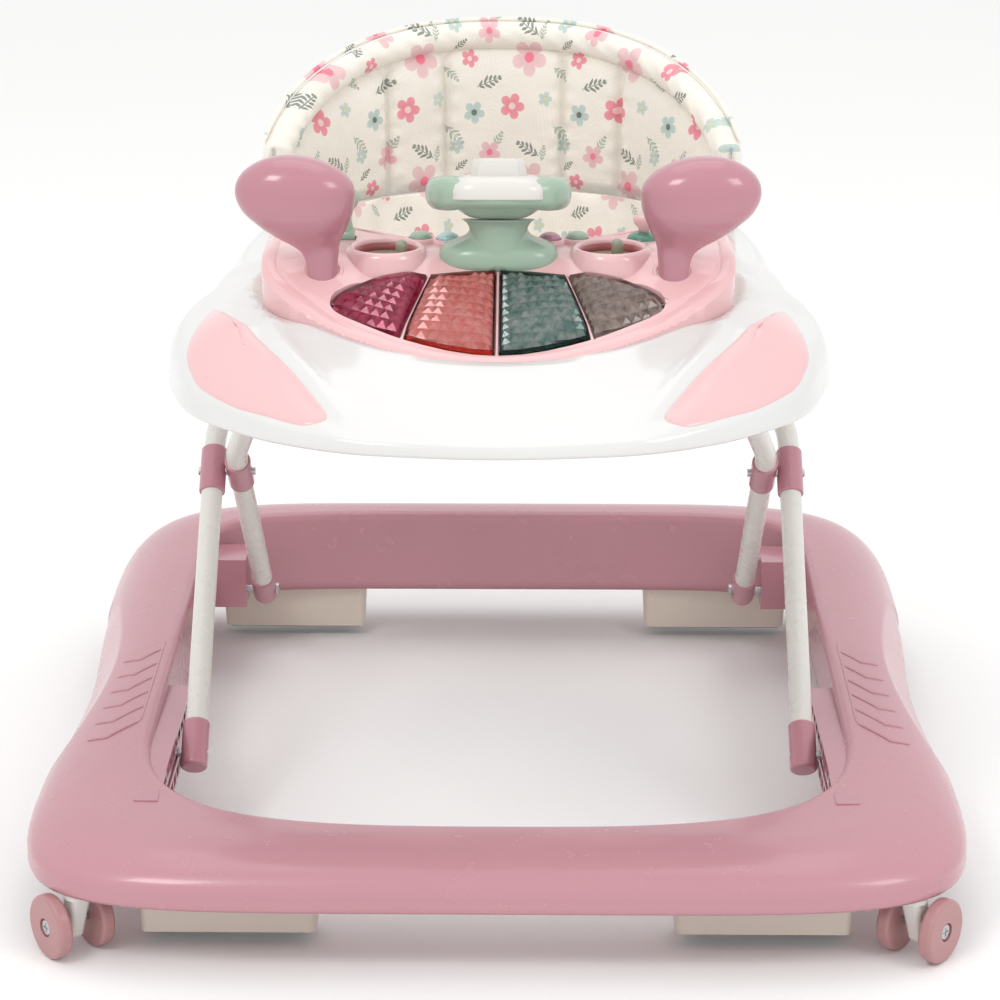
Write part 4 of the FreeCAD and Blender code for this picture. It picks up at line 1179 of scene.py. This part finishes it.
def make_console():
    windows = make_keys()
    rings = make_wells()
    make_lever_and_key()
    panel = make_console_panel()
    cutters = []
    for outline in windows:
        grid = [[on_slope(x, y, lift) for x, y in outline] for lift in (-KEY_TRAVEL_ROOM, 0.0, CUT_ABOVE)]
        cutters.append(grid_object("window", grid, MAT["light_pink"], False, True, caps=True))
    for spot in DIALS.values():
        cutters.append(prism("well_hole", disc_outline(spot, 0.0225), CONSOLE_Z - 0.006,
                             CONSOLE_Z + CUT_ABOVE))
    for node in BUTTON_LOOK:
        r = (high(node).x - low(node).x) / 2
        cutters.append(prism("button_hole", disc_outline(middle(node), r + 0.001, 32), CONSOLE_Z - 0.005,
                             CONSOLE_Z + CUT_ABOVE))
    lever = middle("gear_lever")
    slot_half = 0.0085
    trough = [(lever.x - 0.0070, lever.y - slot_half), (lever.x + 0.0070, lever.y - slot_half),
              (lever.x + 0.0070, lever.y + slot_half), (lever.x - 0.0070, lever.y + slot_half)]
    cutters.append(prism("lever_slot", dense(trough, 0.002), CONSOLE_Z - 0.0066,
                         CONSOLE_Z + CUT_ABOVE))
    carve(panel, cutters)
    sockets = []
    for word in ("left", "right"):
        pos = JOINTS["mirror_turn_" + word]["pos_m"]
        lip = [(0.0109, -0.0080), (0.0109, 0.0006), (0.0115, 0.0012), (0.0128, 0.0013), (0.0140, 0.0006),
               (0.0150, -0.0012), (0.0158, -0.0040)]
        centre = (pos[0], pos[1] + 0.001, console_plane(pos[1]) + MIRROR_SWELL)
        sockets.append(turned("mirror_socket", centre, SLOPE_UP, lip, MAT["light_pink"], 56))
    whole = join("console_piece", [panel] + rings + sockets)
    stand_in(whole, "console_panel", "tray")


# ---- steering wheel -----------------------------------------------------------------
WHEEL_UP = Vector(JOINTS["steering_turn"]["axis"]).normalized()
WHEEL_BACK = WHEEL_UP.cross(Vector((1, 0, 0))).normalized()


# (half width, half depth, height) of each level, square to the column
WHEEL_HULL = [(0.010, 0.010, -0.0168), (0.0165, 0.0175, -0.0166), (0.0195, 0.0225, -0.0158),
              (0.0235, 0.0275, -0.0138), (0.0280, 0.0325, -0.0105), (0.0312, 0.0368, -0.0070),
              (0.0326, 0.0392, -0.0036), (0.0326, 0.0392, -0.0034)]
WHEEL_BLOCK = [(0.0352, 0.0400, -0.0034), (0.0354, 0.0404, -0.0026), (0.0352, 0.0403, 0.0030),
               (0.0338, 0.0396, 0.0064), (0.0294, 0.0380, 0.0090), (0.0268, 0.0352, 0.0110),
               (0.0238, 0.0320, 0.0118), (0.0120, 0.0160, 0.0120)]
# (half width, half depth, rise over the panel) of the column's foot
STEERING_DOME = [(0.0405, 0.0240, -0.006), (0.0412, 0.0246, 0.002), (0.0409, 0.0244, 0.006),
                 (0.0398, 0.0236, 0.0095), (0.0376, 0.0224, 0.0122), (0.0340, 0.0208, 0.0142),
                 (0.0295, 0.0194, 0.0156), (0.0250, 0.0182, 0.0172), (0.0218, 0.0172, 0.0194),
                 (0.0200, 0.0165, 0.0225), (0.0192, 0.0160, 0.0255)]
# (height, radius) along the column
STEERING_COLUMN = [(-0.052, 0.0195), (-0.046, 0.0190), (-0.040, 0.0187), (-0.032, 0.0187),
                   (-0.027, 0.0191), (-0.023, 0.0200), (-0.0205, 0.0213), (-0.0188, 0.0232),
                   (-0.0176, 0.0250)]
HORN_CORNERS = [(-0.0135, -0.0155), (0.0135, -0.0155), (0.0190, 0.0), (0.0135, 0.0155), (-0.0135, 0.0155),
                (-0.0190, 0.0)]
# (scale, height)
HORN_LEVELS = [(1.0, 0.0119), (0.99, 0.0150), (0.955, 0.0185), (0.905, 0.0218), (0.87, 0.0229),
               (0.78, 0.0233), (0.3, 0.0234)]


def wheel_point(x, y, h):
    return COLUMN + Vector((x, 0, 0)) + WHEEL_BACK * y + WHEEL_UP * h


def oval(half_x, half_y, power, angle):
    c, s = math.cos(angle), math.sin(angle)
    return (half_x * math.copysign(abs(c) ** (2 / power), c),
            half_y * math.copysign(abs(s) ** (2 / power), s))


def stacked(name, rings, material, power=4.0, sides=72, at=wheel_point):
    """A lofted block: rings is a list of (half_x, half_y, height)."""
    grid = []
    for half_x, half_y, h in rings:
        grid.append([at(*oval(half_x, half_y, power, 2 * math.pi * j / sides), h) for j in range(sides)])
    return grid_object(name, grid, material, False, True, caps=True)


def make_steering():
    sage = MAT["sage_green"]
    white = MAT["white_plastic"]
    rim = []
    steps = 96
    for i in range(steps):
        a = 2 * math.pi * i / steps
        cx, cy = oval(0.0395, 0.0310, 2.5, a)
        out = Vector((cx / 0.0385 ** 2, cy / 0.0310 ** 2, 0)).normalized()
        grip = smooth(0.020, 0.034, abs(cx))
        half_w = lerp(0.0088, 0.0100, grip)
        row = []
        for j in range(22):
            b = 2 * math.pi * j / 22
            w, h = oval(half_w, lerp(0.0095, 0.0112, grip), 2.5, b)
            row.append(wheel_point(cx + out.x * w, cy + out.y * w, h))
        rim.append(row)
    ring = grid_object("wheel_ring", rim, sage, True, True)
    hull = stacked("wheel_hull", WHEEL_HULL, sage, 3.4)
    wheel = join("steering_wheel_piece", [ring, hull])
    stand_in(wheel, "steering_wheel", "steering")
    block = stacked("wheel_block", WHEEL_BLOCK, white, 4.2)
    stand_in(block, "wheel_insert", "steering")

    hub = stacked_polygon("horn_piece", HORN_CORNERS, HORN_LEVELS, white)
    stand_in(hub, "horn_button", "horn")

    def level(x, y, z):
        return Vector((x, COLUMN.y + y, z))

    foot = console_plane(COLUMN.y - 0.024)
    levels = [(x, y, foot + rise) for x, y, rise in STEERING_DOME]
    dome = stacked("steering_dome", levels, sage, 2.8, at=level)
    column = []
    for h, r in STEERING_COLUMN:
        angles = [2 * math.pi * j / 56 for j in range(56)]
        column.append([wheel_point(r * math.cos(a), r * 0.86 * math.sin(a), h) for a in angles])
    pillar = grid_object("steering_pillar", column, sage, False, True, caps=True)
    front = COLUMN.y - 0.0178
    hole = turned("dome_screw", (0.0015, front - 0.0010, foot + 0.0214), (0, -0.35, 1),
                  [(0, 0), (0.0018, 0), (0.0017, 0.0008), (0, 0.0009)], MAT["mauve"], 20)
    stand = join("steering_base_piece", [dome, pillar, hole])
    stand_in(stand, "steering_base", "tray")


def stacked_polygon(name, corners, levels, material):
    """A frustum with flat faces: each level is (scale, height) of the same polygon."""
    loop = dense(corners, 0.0030)
    grid = [[wheel_point(x * share, y * share, h) for x, y in loop] for share, h in levels]
    obj = grid_object(name, grid, material, False, True, caps=True)
    sharpen(obj, 24)
    return obj


# ---- wing mirrors ---------------------------------------------------------------------
# (height above the foot, outward shift, half width) of the mirror's outline, seen from in front
MIRROR_RINGS = [(-0.0130, 0.0, 0.0104), (-0.004, 0.0, 0.0104), (0.0, 0.0, 0.0106),
                (0.0050, 0.0004, 0.0110), (0.0095, 0.0010, 0.0120), (0.0130, 0.0024, 0.0138),
                (0.0165, 0.0048, 0.0168), (0.0200, 0.0076, 0.0206), (0.0235, 0.0096, 0.0244),
                (0.0270, 0.0112, 0.0280), (0.0315, 0.0130, 0.0318), (0.0375, 0.0152, 0.0362),
                (0.0440, 0.0166, 0.0390), (0.0505, 0.0174, 0.0401), (0.0570, 0.0178, 0.0392),
                (0.0625, 0.0184, 0.0360), (0.0670, 0.0191, 0.0312), (0.0710, 0.0198, 0.0246),
                (0.0738, 0.0204, 0.0178), (0.0756, 0.0209, 0.0108), (0.0764, 0.0212, 0.0050)]


MIRROR_DEPTH = 0.0235
MIRROR_WIDEST = 0.0401
MIRROR_BACK = 0.0125
FILM_STEPS = ((1.0, -0.001), (1.0, 0.0003), (0.985, 0.0006), (0.9, 0.0006), (0.6, 0.0006), (0.2, 0.0006))


def make_mirror(side, word):
    pos = Vector(JOINTS["mirror_turn_" + word]["pos_m"])
    foot = console_plane(pos.y) + 0.0066
    back = MIRROR_BACK
    grid = []
    for h, shift, half in MIRROR_RINGS:
        depth = lerp(0.0090, MIRROR_DEPTH, smooth(0.011, 0.040, half))
        if h >= 0.05:
            depth = MIRROR_DEPTH * (half / MIRROR_WIDEST) ** 0.85
        row = []
        for j in range(72):
            a = 2 * math.pi * j / 72
            x, y = oval(half, depth, 2.15, a)
            if y > back - 0.004:
                y = back - 0.004 + 0.004 * math.tanh((y - back + 0.004) / 0.004)
            row.append(Vector((pos.x + side * shift + x, pos.y - 0.001 + y, foot + h)))
        grid.append(row)
    dense_rows = []
    columns = list(zip(*grid))
    smoothed = [spline([tuple(p) for p in column], 70) for column in columns]
    for i in range(70):
        dense_rows.append([Vector(column[i]) for column in smoothed])
    shell = grid_object("mirror_shell_" + word + "_piece", dense_rows, MAT["cap_pink"], False, True,
                        caps=True)
    stand_in(shell, "mirror_shell_" + word, "mirror_" + word)
    centre = Vector((pos.x + side * 0.0168, pos.y - 0.001 + back - 0.0002, foot + 0.046))
    rows = []
    for share, lift in FILM_STEPS:
        rows.append([centre + Vector((p[0] * share, lift, p[1] * share))
                     for p in (oval(0.0315, 0.0215, 2.2, 2 * math.pi * j / 60) for j in range(60))])
    film = grid_object("mirror_film_" + word, rows, MAT["mirror_film"], False, True, caps=True)
    stand_in(film, "mirror_glass_" + word, "mirror_" + word)


# ---- stoppers and castor sockets: trimmed under the thin skin of the base -----------------
def trimmed(node, top, material, body="base"):
    """The node's own form, with nothing higher than top."""
    source = frame["nodes"][node]
    mesh = source.data.copy()
    for vertex in mesh.vertices:
        vertex.co.z = min(vertex.co.z, top)
    obj = bpy.data.objects.new(node + "_piece", mesh)
    bpy.context.collection.objects.link(obj)
    mesh.materials.clear()
    mesh.materials.append(material)
    sharpen(obj, 30)
    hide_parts(node)
    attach(obj, body)
    return obj


# ---- printed fabric ------------------------------------------------------------------
TILE_U = 0.090
TILE_V = 0.096
THREAD = 0.0009
PRINT_R = 0.174
PRINT_TOP = 0.536
CREAM = (0.860, 0.825, 0.750)
CORAL = (0.83, 0.22, 0.30)
BLUSH = (0.80, 0.47, 0.50)
BLUE = (0.46, 0.60, 0.57)
FERN_DARK = (0.16, 0.20, 0.17)
FERN_LIGHT = (0.36, 0.44, 0.36)
# (kind, across, up, size, turn in degrees, petal colour, centre colour)
PRINT = [
    ("flower", 0.007, -0.065, 0.0105, 10, CORAL, (0.86, 0.62, 0.60)),
    ("flower", 0.021, -0.027, 0.0145, 40, (0.81, 0.52, 0.54), CORAL),
    ("flower", 0.035, -0.059, 0.0060, 0, (0.52, 0.64, 0.60), (0.70, 0.66, 0.40)),
    ("flower", 0.065, -0.070, 0.0090, 25, BLUE, FERN_DARK),
    ("fern", 0.047, -0.040, 0.015, -45, FERN_LIGHT, None),
    ("fern", 0.078, -0.046, 0.022, 20, FERN_DARK, None),
    ("fern", 0.049, -0.088, 0.020, -45, FERN_LIGHT, None),
    ("fern", 0.020, -0.003, 0.022, 150, FERN_DARK, None),
    ("fern", 0.033, -0.006, 0.013, 80, FERN_LIGHT, None),
    ("fern", 0.085, -0.092, 0.016, 60, FERN_LIGHT, None),
    ("fern", 0.054, -0.016, 0.013, 40, FERN_DARK, None),
    ("flower", 0.050, -0.001, 0.0060, 15, BLUE, (0.72, 0.70, 0.55)),
    ("flower", 0.078, -0.006, 0.0095, 50, BLUSH, CORAL),
    ("flower", 0.062, -0.028, 0.0070, 5, CORAL, (0.86, 0.62, 0.60)),
]


def printed_fabric(name):
    """Cream weave with a small repeating print, laid round the seat's axis."""
    n = Nodes(name)
    xyz = n.add("ShaderNodeSeparateXYZ", {"Vector": n.place()})
    x, y, z = xyz.outputs
    angle = n.maths("ARCTAN2", x, n.maths("SUBTRACT", y, SEAT.y))
    across = n.maths("MULTIPLY", angle, PRINT_R)
    up = n.maths("SUBTRACT", z, PRINT_TOP)
    tone = n.mix(n.ramp(n.noise(26.0, 3.0), 0.3, 0.7, 0.0, 1.0), shade(CREAM, 0.97), shade(CREAM, 1.03))
    wobble = n.maths("MULTIPLY", n.maths("SUBTRACT", n.noise(420.0, 2.0), 0.5), 0.0009)
    for kind, at_u, at_v, size, turn, colour, centre in PRINT:
        du = n.maths("WRAP", n.maths("SUBTRACT", across, at_u), TILE_U / 2, -TILE_U / 2)
        dv = n.maths("WRAP", n.maths("SUBTRACT", up, at_v), TILE_V / 2, -TILE_V / 2)
        if kind == "flower":
            square = n.maths("ADD", n.maths("MULTIPLY", du, du), n.maths("MULTIPLY", dv, dv))
            away = n.maths("SQRT", square)
            away = n.maths("ADD", away, wobble)
            bearing = n.maths("MULTIPLY", n.maths("ARCTAN2", dv, du), 2.5)
            turned_by = n.maths("ADD", bearing, math.radians(turn))
            lobes = n.maths("POWER", n.maths("ABSOLUTE", n.maths("COSINE", turned_by)), 0.55)
            reach = n.maths("ADD", n.maths("MULTIPLY", lobes, size * 0.56), size * 0.44)
            mask = n.ramp(n.maths("SUBTRACT", reach, away), -0.0003, 0.0003, 0.0, 1.0)
            pale = lerp_colour(colour, CREAM, 0.14)
            wash = n.mix(n.ramp(away, 0.0, size, 0.0, 1.0), shade(colour, 0.9), pale)
            tone = n.mix(n.maths("MULTIPLY", mask, 0.92), tone, wash)
            eye = n.ramp(away, size * 0.24, size * 0.30, 1.0, 0.0)
            tone = n.mix(eye, tone, centre)
        else:
            c, s = math.cos(math.radians(turn)), math.sin(math.radians(turn))
            along = n.maths("ADD", n.maths("MULTIPLY", du, c), n.maths("MULTIPLY", dv, s))
            off = n.maths("SUBTRACT", n.maths("MULTIPLY", dv, c), n.maths("MULTIPLY", du, s))
            beside = n.maths("ABSOLUTE", off)
            from_mid = n.maths("ABSOLUTE", along)
            width = n.maths("MULTIPLY", n.ramp(from_mid, 0.0, size / 2, 1.0, 0.25), size * 0.27)
            slanted = n.maths("SUBTRACT", along, n.maths("MULTIPLY", beside, 0.75))
            pitch = size / 5.2
            rib = n.maths("ABSOLUTE", n.maths("WRAP", slanted, pitch / 2, -pitch / 2))
            share = n.maths("DIVIDE", beside, width)
            plump = n.maths("MULTIPLY", n.maths("MULTIPLY", share, n.maths("SUBTRACT", 1.0, share)), 4.0)
            half = n.maths("MULTIPLY", n.maths("MAXIMUM", plump, 0.0), pitch * 0.36)
            leaves = n.ramp(n.maths("SUBTRACT", half, rib), -0.00012, 0.00022, 0.0, 1.0)
            stem = n.ramp(beside, 0.00022, 0.00048, 1.0, 0.0)
            inside = n.ramp(from_mid, size * 0.47, size * 0.52, 1.0, 0.0)
            mask = n.maths("MULTIPLY", n.maths("MAXIMUM", leaves, stem), inside)
            tone = n.mix(n.maths("MULTIPLY", mask, 0.85), tone, colour)
    n.base(tone)
    n.rough(n.ramp(n.noise(300.0, 3.0), 0.3, 0.7, 0.82, 0.95))
    weave_x = n.maths("SINE", n.maths("MULTIPLY", across, 2 * math.pi / THREAD))
    weave_y = n.maths("SINE", n.maths("MULTIPLY", up, 2 * math.pi / THREAD))
    puckers = n.maths("ADD", n.maths("MULTIPLY", n.maths("MULTIPLY", weave_x, weave_y), 0.05),
                      n.ramp(n.noise(55.0, 3.0, 0.55), 0.3, 0.7, 0.0, 1.0))
    n.relief(puckers, 0.0011, 0.6)
    n.shader.inputs["Sheen Weight"].default_value = 0.15
    n.shader.inputs["Specular IOR Level"].default_value = 0.2
    return n.material


# ---- seat -----------------------------------------------------------------------------
PAD_LOW = low("backrest_pad").z
PAD_TOP = high("backrest_pad").z
PAD_REACH = 0.1745
PAD_R = 0.174
PAD_ANGLE = math.radians(80)
SPRING = 0.440
SEAMS = [math.radians(a) for a in (-32.5, -15.8, 15.8, 32.5)]
BAND = 0.021
BAND_SWELL = 0.0118
PAD_BACK = 0.0108


def arch_top(angle):
    """Height of the backrest's round head at an angle from its middle."""
    t = min(abs(PAD_R * math.sin(angle)) / PAD_REACH, 1.0) ** (1 / 0.75)
    return SPRING + (PAD_TOP - SPRING) * max(1 - t * t, 0.0) ** 0.45


def pad_outline():
    points = [(PAD_R * a, arch_top(a)) for a in np.linspace(-PAD_ANGLE, PAD_ANGLE, 161)]
    return np.array([(-PAD_R * PAD_ANGLE, PAD_LOW)] + points + [(PAD_R * PAD_ANGLE, PAD_LOW)])


PAD_LINE = pad_outline()


def line_distance(table, u, v):
    """Shortest distance from a point to a polyline."""
    a = table[:-1]
    b = table[1:]
    ab = b - a
    share = np.clip(((u - a[:, 0]) * ab[:, 0] + (v - a[:, 1]) * ab[:, 1]) / (ab ** 2).sum(axis=1), 0, 1)
    near = a + ab * share[:, None]
    return float(np.hypot(near[:, 0] - u, near[:, 1] - v).min())


def pad_front(angle, z):
    """How far the pad's front swells in from its middle surface."""
    u = PAD_R * angle
    edge = line_distance(PAD_LINE, u, z)
    foot = z - PAD_LOW
    wobble = noise.noise(Vector((u * 22, z * 14, 3.1)))
    if edge < BAND:
        t = (edge - BAND / 2) / (BAND / 2)
        swell = BAND_SWELL * math.sqrt(max(1 - t * t * 0.97, 0.0)) + 0.0006 * wobble
        pucker = 0.0007 * math.sin(u * 330 + z * 260) * (1 - abs(t))
        return swell - pucker
    deep = edge - BAND
    swell = 0.0030 + 0.0085 * (1 - math.exp(-deep / 0.009))
    for seam in SEAMS:
        d = abs(angle - seam) * PAD_R
        swell -= 0.0070 * bump(d, 0.0030) + 0.0024 * bump(d, 0.0110)
        swell += 0.0010 * bump(d, 0.0090) * math.sin(z * 420 + seam * 9) * smooth(0.0015, 0.004, d)
    swell += 0.0016 * wobble
    swell *= min(1.0, (foot / 0.012)) ** 0.5 if foot < 0.012 else 1.0
    return max(swell, 0.0004)


def pad_point(angle, z, offset):
    r = PAD_R - offset
    return Vector((r * math.sin(angle), SEAT.y + r * math.cos(angle), z))


def make_backrest():
    cols, rows, back_rows = 260, 110, 40
    grid = []
    for i in range(cols + 1):
        angle = lerp(-PAD_ANGLE, PAD_ANGLE, i / cols)
        top = arch_top(angle)
        end = min(i, cols - i) / 6
        squeeze = math.sqrt(max(1 - (1 - min(end, 1.0)) ** 2, 0.0))
        row = []
        for j in range(rows + 1):
            z = lerp(PAD_LOW + 0.0006, top, 1 - (1 - j / rows) ** 1.25)
            row.append(pad_point(angle, z, pad_front(angle, z) * squeeze))
        for j in range(1, back_rows + 1):
            z = lerp(top, PAD_LOW + 0.0006, j / back_rows)
            drop = top - z
            round_top = math.sqrt(max(1 - (1 - min(drop / 0.012, 1.0)) ** 2, 0.0))
            rise = z - PAD_LOW
            round_foot = math.sqrt(max(1 - (1 - min(rise / 0.008, 1.0)) ** 2, 0.0))
            row.append(pad_point(angle, z, -PAD_BACK * min(round_top, round_foot) * squeeze))
        grid.append(row)
    pad = grid_object("backrest_cushion", grid, FABRIC, False, True, caps=True)
    stand_in(pad, "backrest_pad", "tray")
    cord_path = []
    for a in np.linspace(-PAD_ANGLE * 0.985, PAD_ANGLE * 0.985, 150):
        cord_path.append(pad_point(a, arch_top(a) + 0.0002, -0.0080))
    piping = tube_along("backrest_piping", cord_path, 0.0019, FABRIC, 10)
    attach(piping, "tray")


SLING_LINE = [(0.1462, 0.4075), (0.1440, 0.4082), (0.1425, 0.4040), (0.1405, 0.3920),
              (0.1360, 0.3660), (0.1290, 0.3400), (0.1150, 0.3120), (0.0960, 0.2890),
              (0.0720, 0.2735), (0.0450, 0.2660), (0.0200, 0.2645), (0.0020, 0.2645)]
LEG_HOLES = [Vector((side * 0.066, SEAT.y - 0.018, 0)) for side in (-1, 1)]
LEG_R = 0.052
HEM_R = 0.0024


def sling_point(angle, share):
    r, z = np.array(SLING_CURVE[min(int(share * (len(SLING_CURVE) - 1)), len(SLING_CURVE) - 1)])
    hang = smooth(0.0, 0.25, share) * (1 - smooth(0.75, 1.0, share))
    pleat = 0.0022 * math.sin(angle * 13 + 1.3) + 0.0014 * math.sin(angle * 29 + 0.4)
    pleat += 0.0030 * noise.noise(Vector((math.cos(angle) * 4, math.sin(angle) * 4, share * 5)))
    r -= max(pleat, -0.0028) * hang
    z -= 0.0015 * math.sin(angle * 7) * hang
    return Vector((r * math.sin(angle), SEAT.y + r * math.cos(angle), z))


SLING_CURVE = [tuple(p) for p in spline(SLING_LINE, 240)]


def make_sling():
    around, down = 220, 90
    grid = [[sling_point(2 * math.pi * i / around, j / down) for i in range(around)]
            for j in range(down + 1)]
    sling = grid_object("seat_sling_cloth", grid, FABRIC, False, True)
    bm = bmesh.new()
    bm.from_mesh(sling.data)
    gone = []
    for face in bm.faces:
        middle_point = face.calc_center_median()
        inside = min((Vector((middle_point.x, middle_point.y, 0)) - hole).length for hole in LEG_HOLES)
        if inside < LEG_R and middle_point.z < 0.335:
            gone.append(face)
    bmesh.ops.delete(bm, geom=gone, context="FACES")
    rings = {0: [], 1: []}
    for vertex in bm.verts:
        if vertex.is_boundary and vertex.co.z < 0.39 and vertex.co.xy.length > 0.005:
            flat_spot = Vector((vertex.co.x, vertex.co.y, 0))
            k = 0 if vertex.co.x < 0 else 1
            out = flat_spot - LEG_HOLES[k]
            if abs(out.length - 0.050) < 0.015:
                moved = LEG_HOLES[k] + out.normalized() * LEG_R
                vertex.co.x, vertex.co.y = moved.x, moved.y
                rings[k].append((math.atan2(out.y, out.x), vertex.co.copy()))
    bmesh.ops.smooth_vert(bm, verts=[v for v in bm.verts if not v.is_boundary], factor=0.5, use_axis_x=True,
                          use_axis_y=True, use_axis_z=True)
    bm.to_mesh(sling.data)
    bm.free()
    hems = []
    for points in rings.values():
        points.sort(key=lambda item: item[0])
        loop = [item[1] for item in points]
        even = [Vector(p) for p in spline([tuple(p) for p in loop[::4]], 90, closed=True)]
        rows = []
        for i, p in enumerate(even):
            ahead = (even[(i + 1) % 90] - even[i - 1]).normalized()
            side = ahead.cross(Vector((0, 0, 1))).normalized()
            lift = side.cross(ahead).normalized()
            rows.append([p + side * (HEM_R * math.cos(2 * math.pi * j / 10))
                         + lift * (HEM_R * math.sin(2 * math.pi * j / 10)) for j in range(10)])
        hems.append(grid_object("leg_hem", rows, FABRIC, True, True))
    hem = join("leg_hems", hems)
    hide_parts("seat_sling")
    for piece in (sling, hem):
        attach(piece, "tray")


FABRIC = printed_fabric("seat_fabric")


# ---- build ------------------------------------------------------------------------
make_camera()
make_studio()
make_base()
make_tray()
make_headlights()
make_console()
make_steering()
for mirror_side, mirror_word in ((-1, "left"), (1, "right")):
    make_mirror(mirror_side, mirror_word)
make_backrest()
make_sling()
trimmed("stop_pads", 0.068, MAT["cream_plastic"])
trimmed("castor_sockets", 0.052, MAT["cap_pink"])
for corner in ("front_left", "front_right", "rear_left", "rear_right"):
    trimmed("castor_fork_" + corner, 0.052, MAT["white_plastic"], "castor_" + corner)
for node in RECORD["subparts"]:
    obj = frame["nodes"][node["node"]]
    for k in range(len(obj.material_slots)):
        obj.material_slots[k].material = MAT.get(node["material_slot"], FABRIC)
frame["nodes"]["backrest_board"].material_slots[0].material = FABRIC
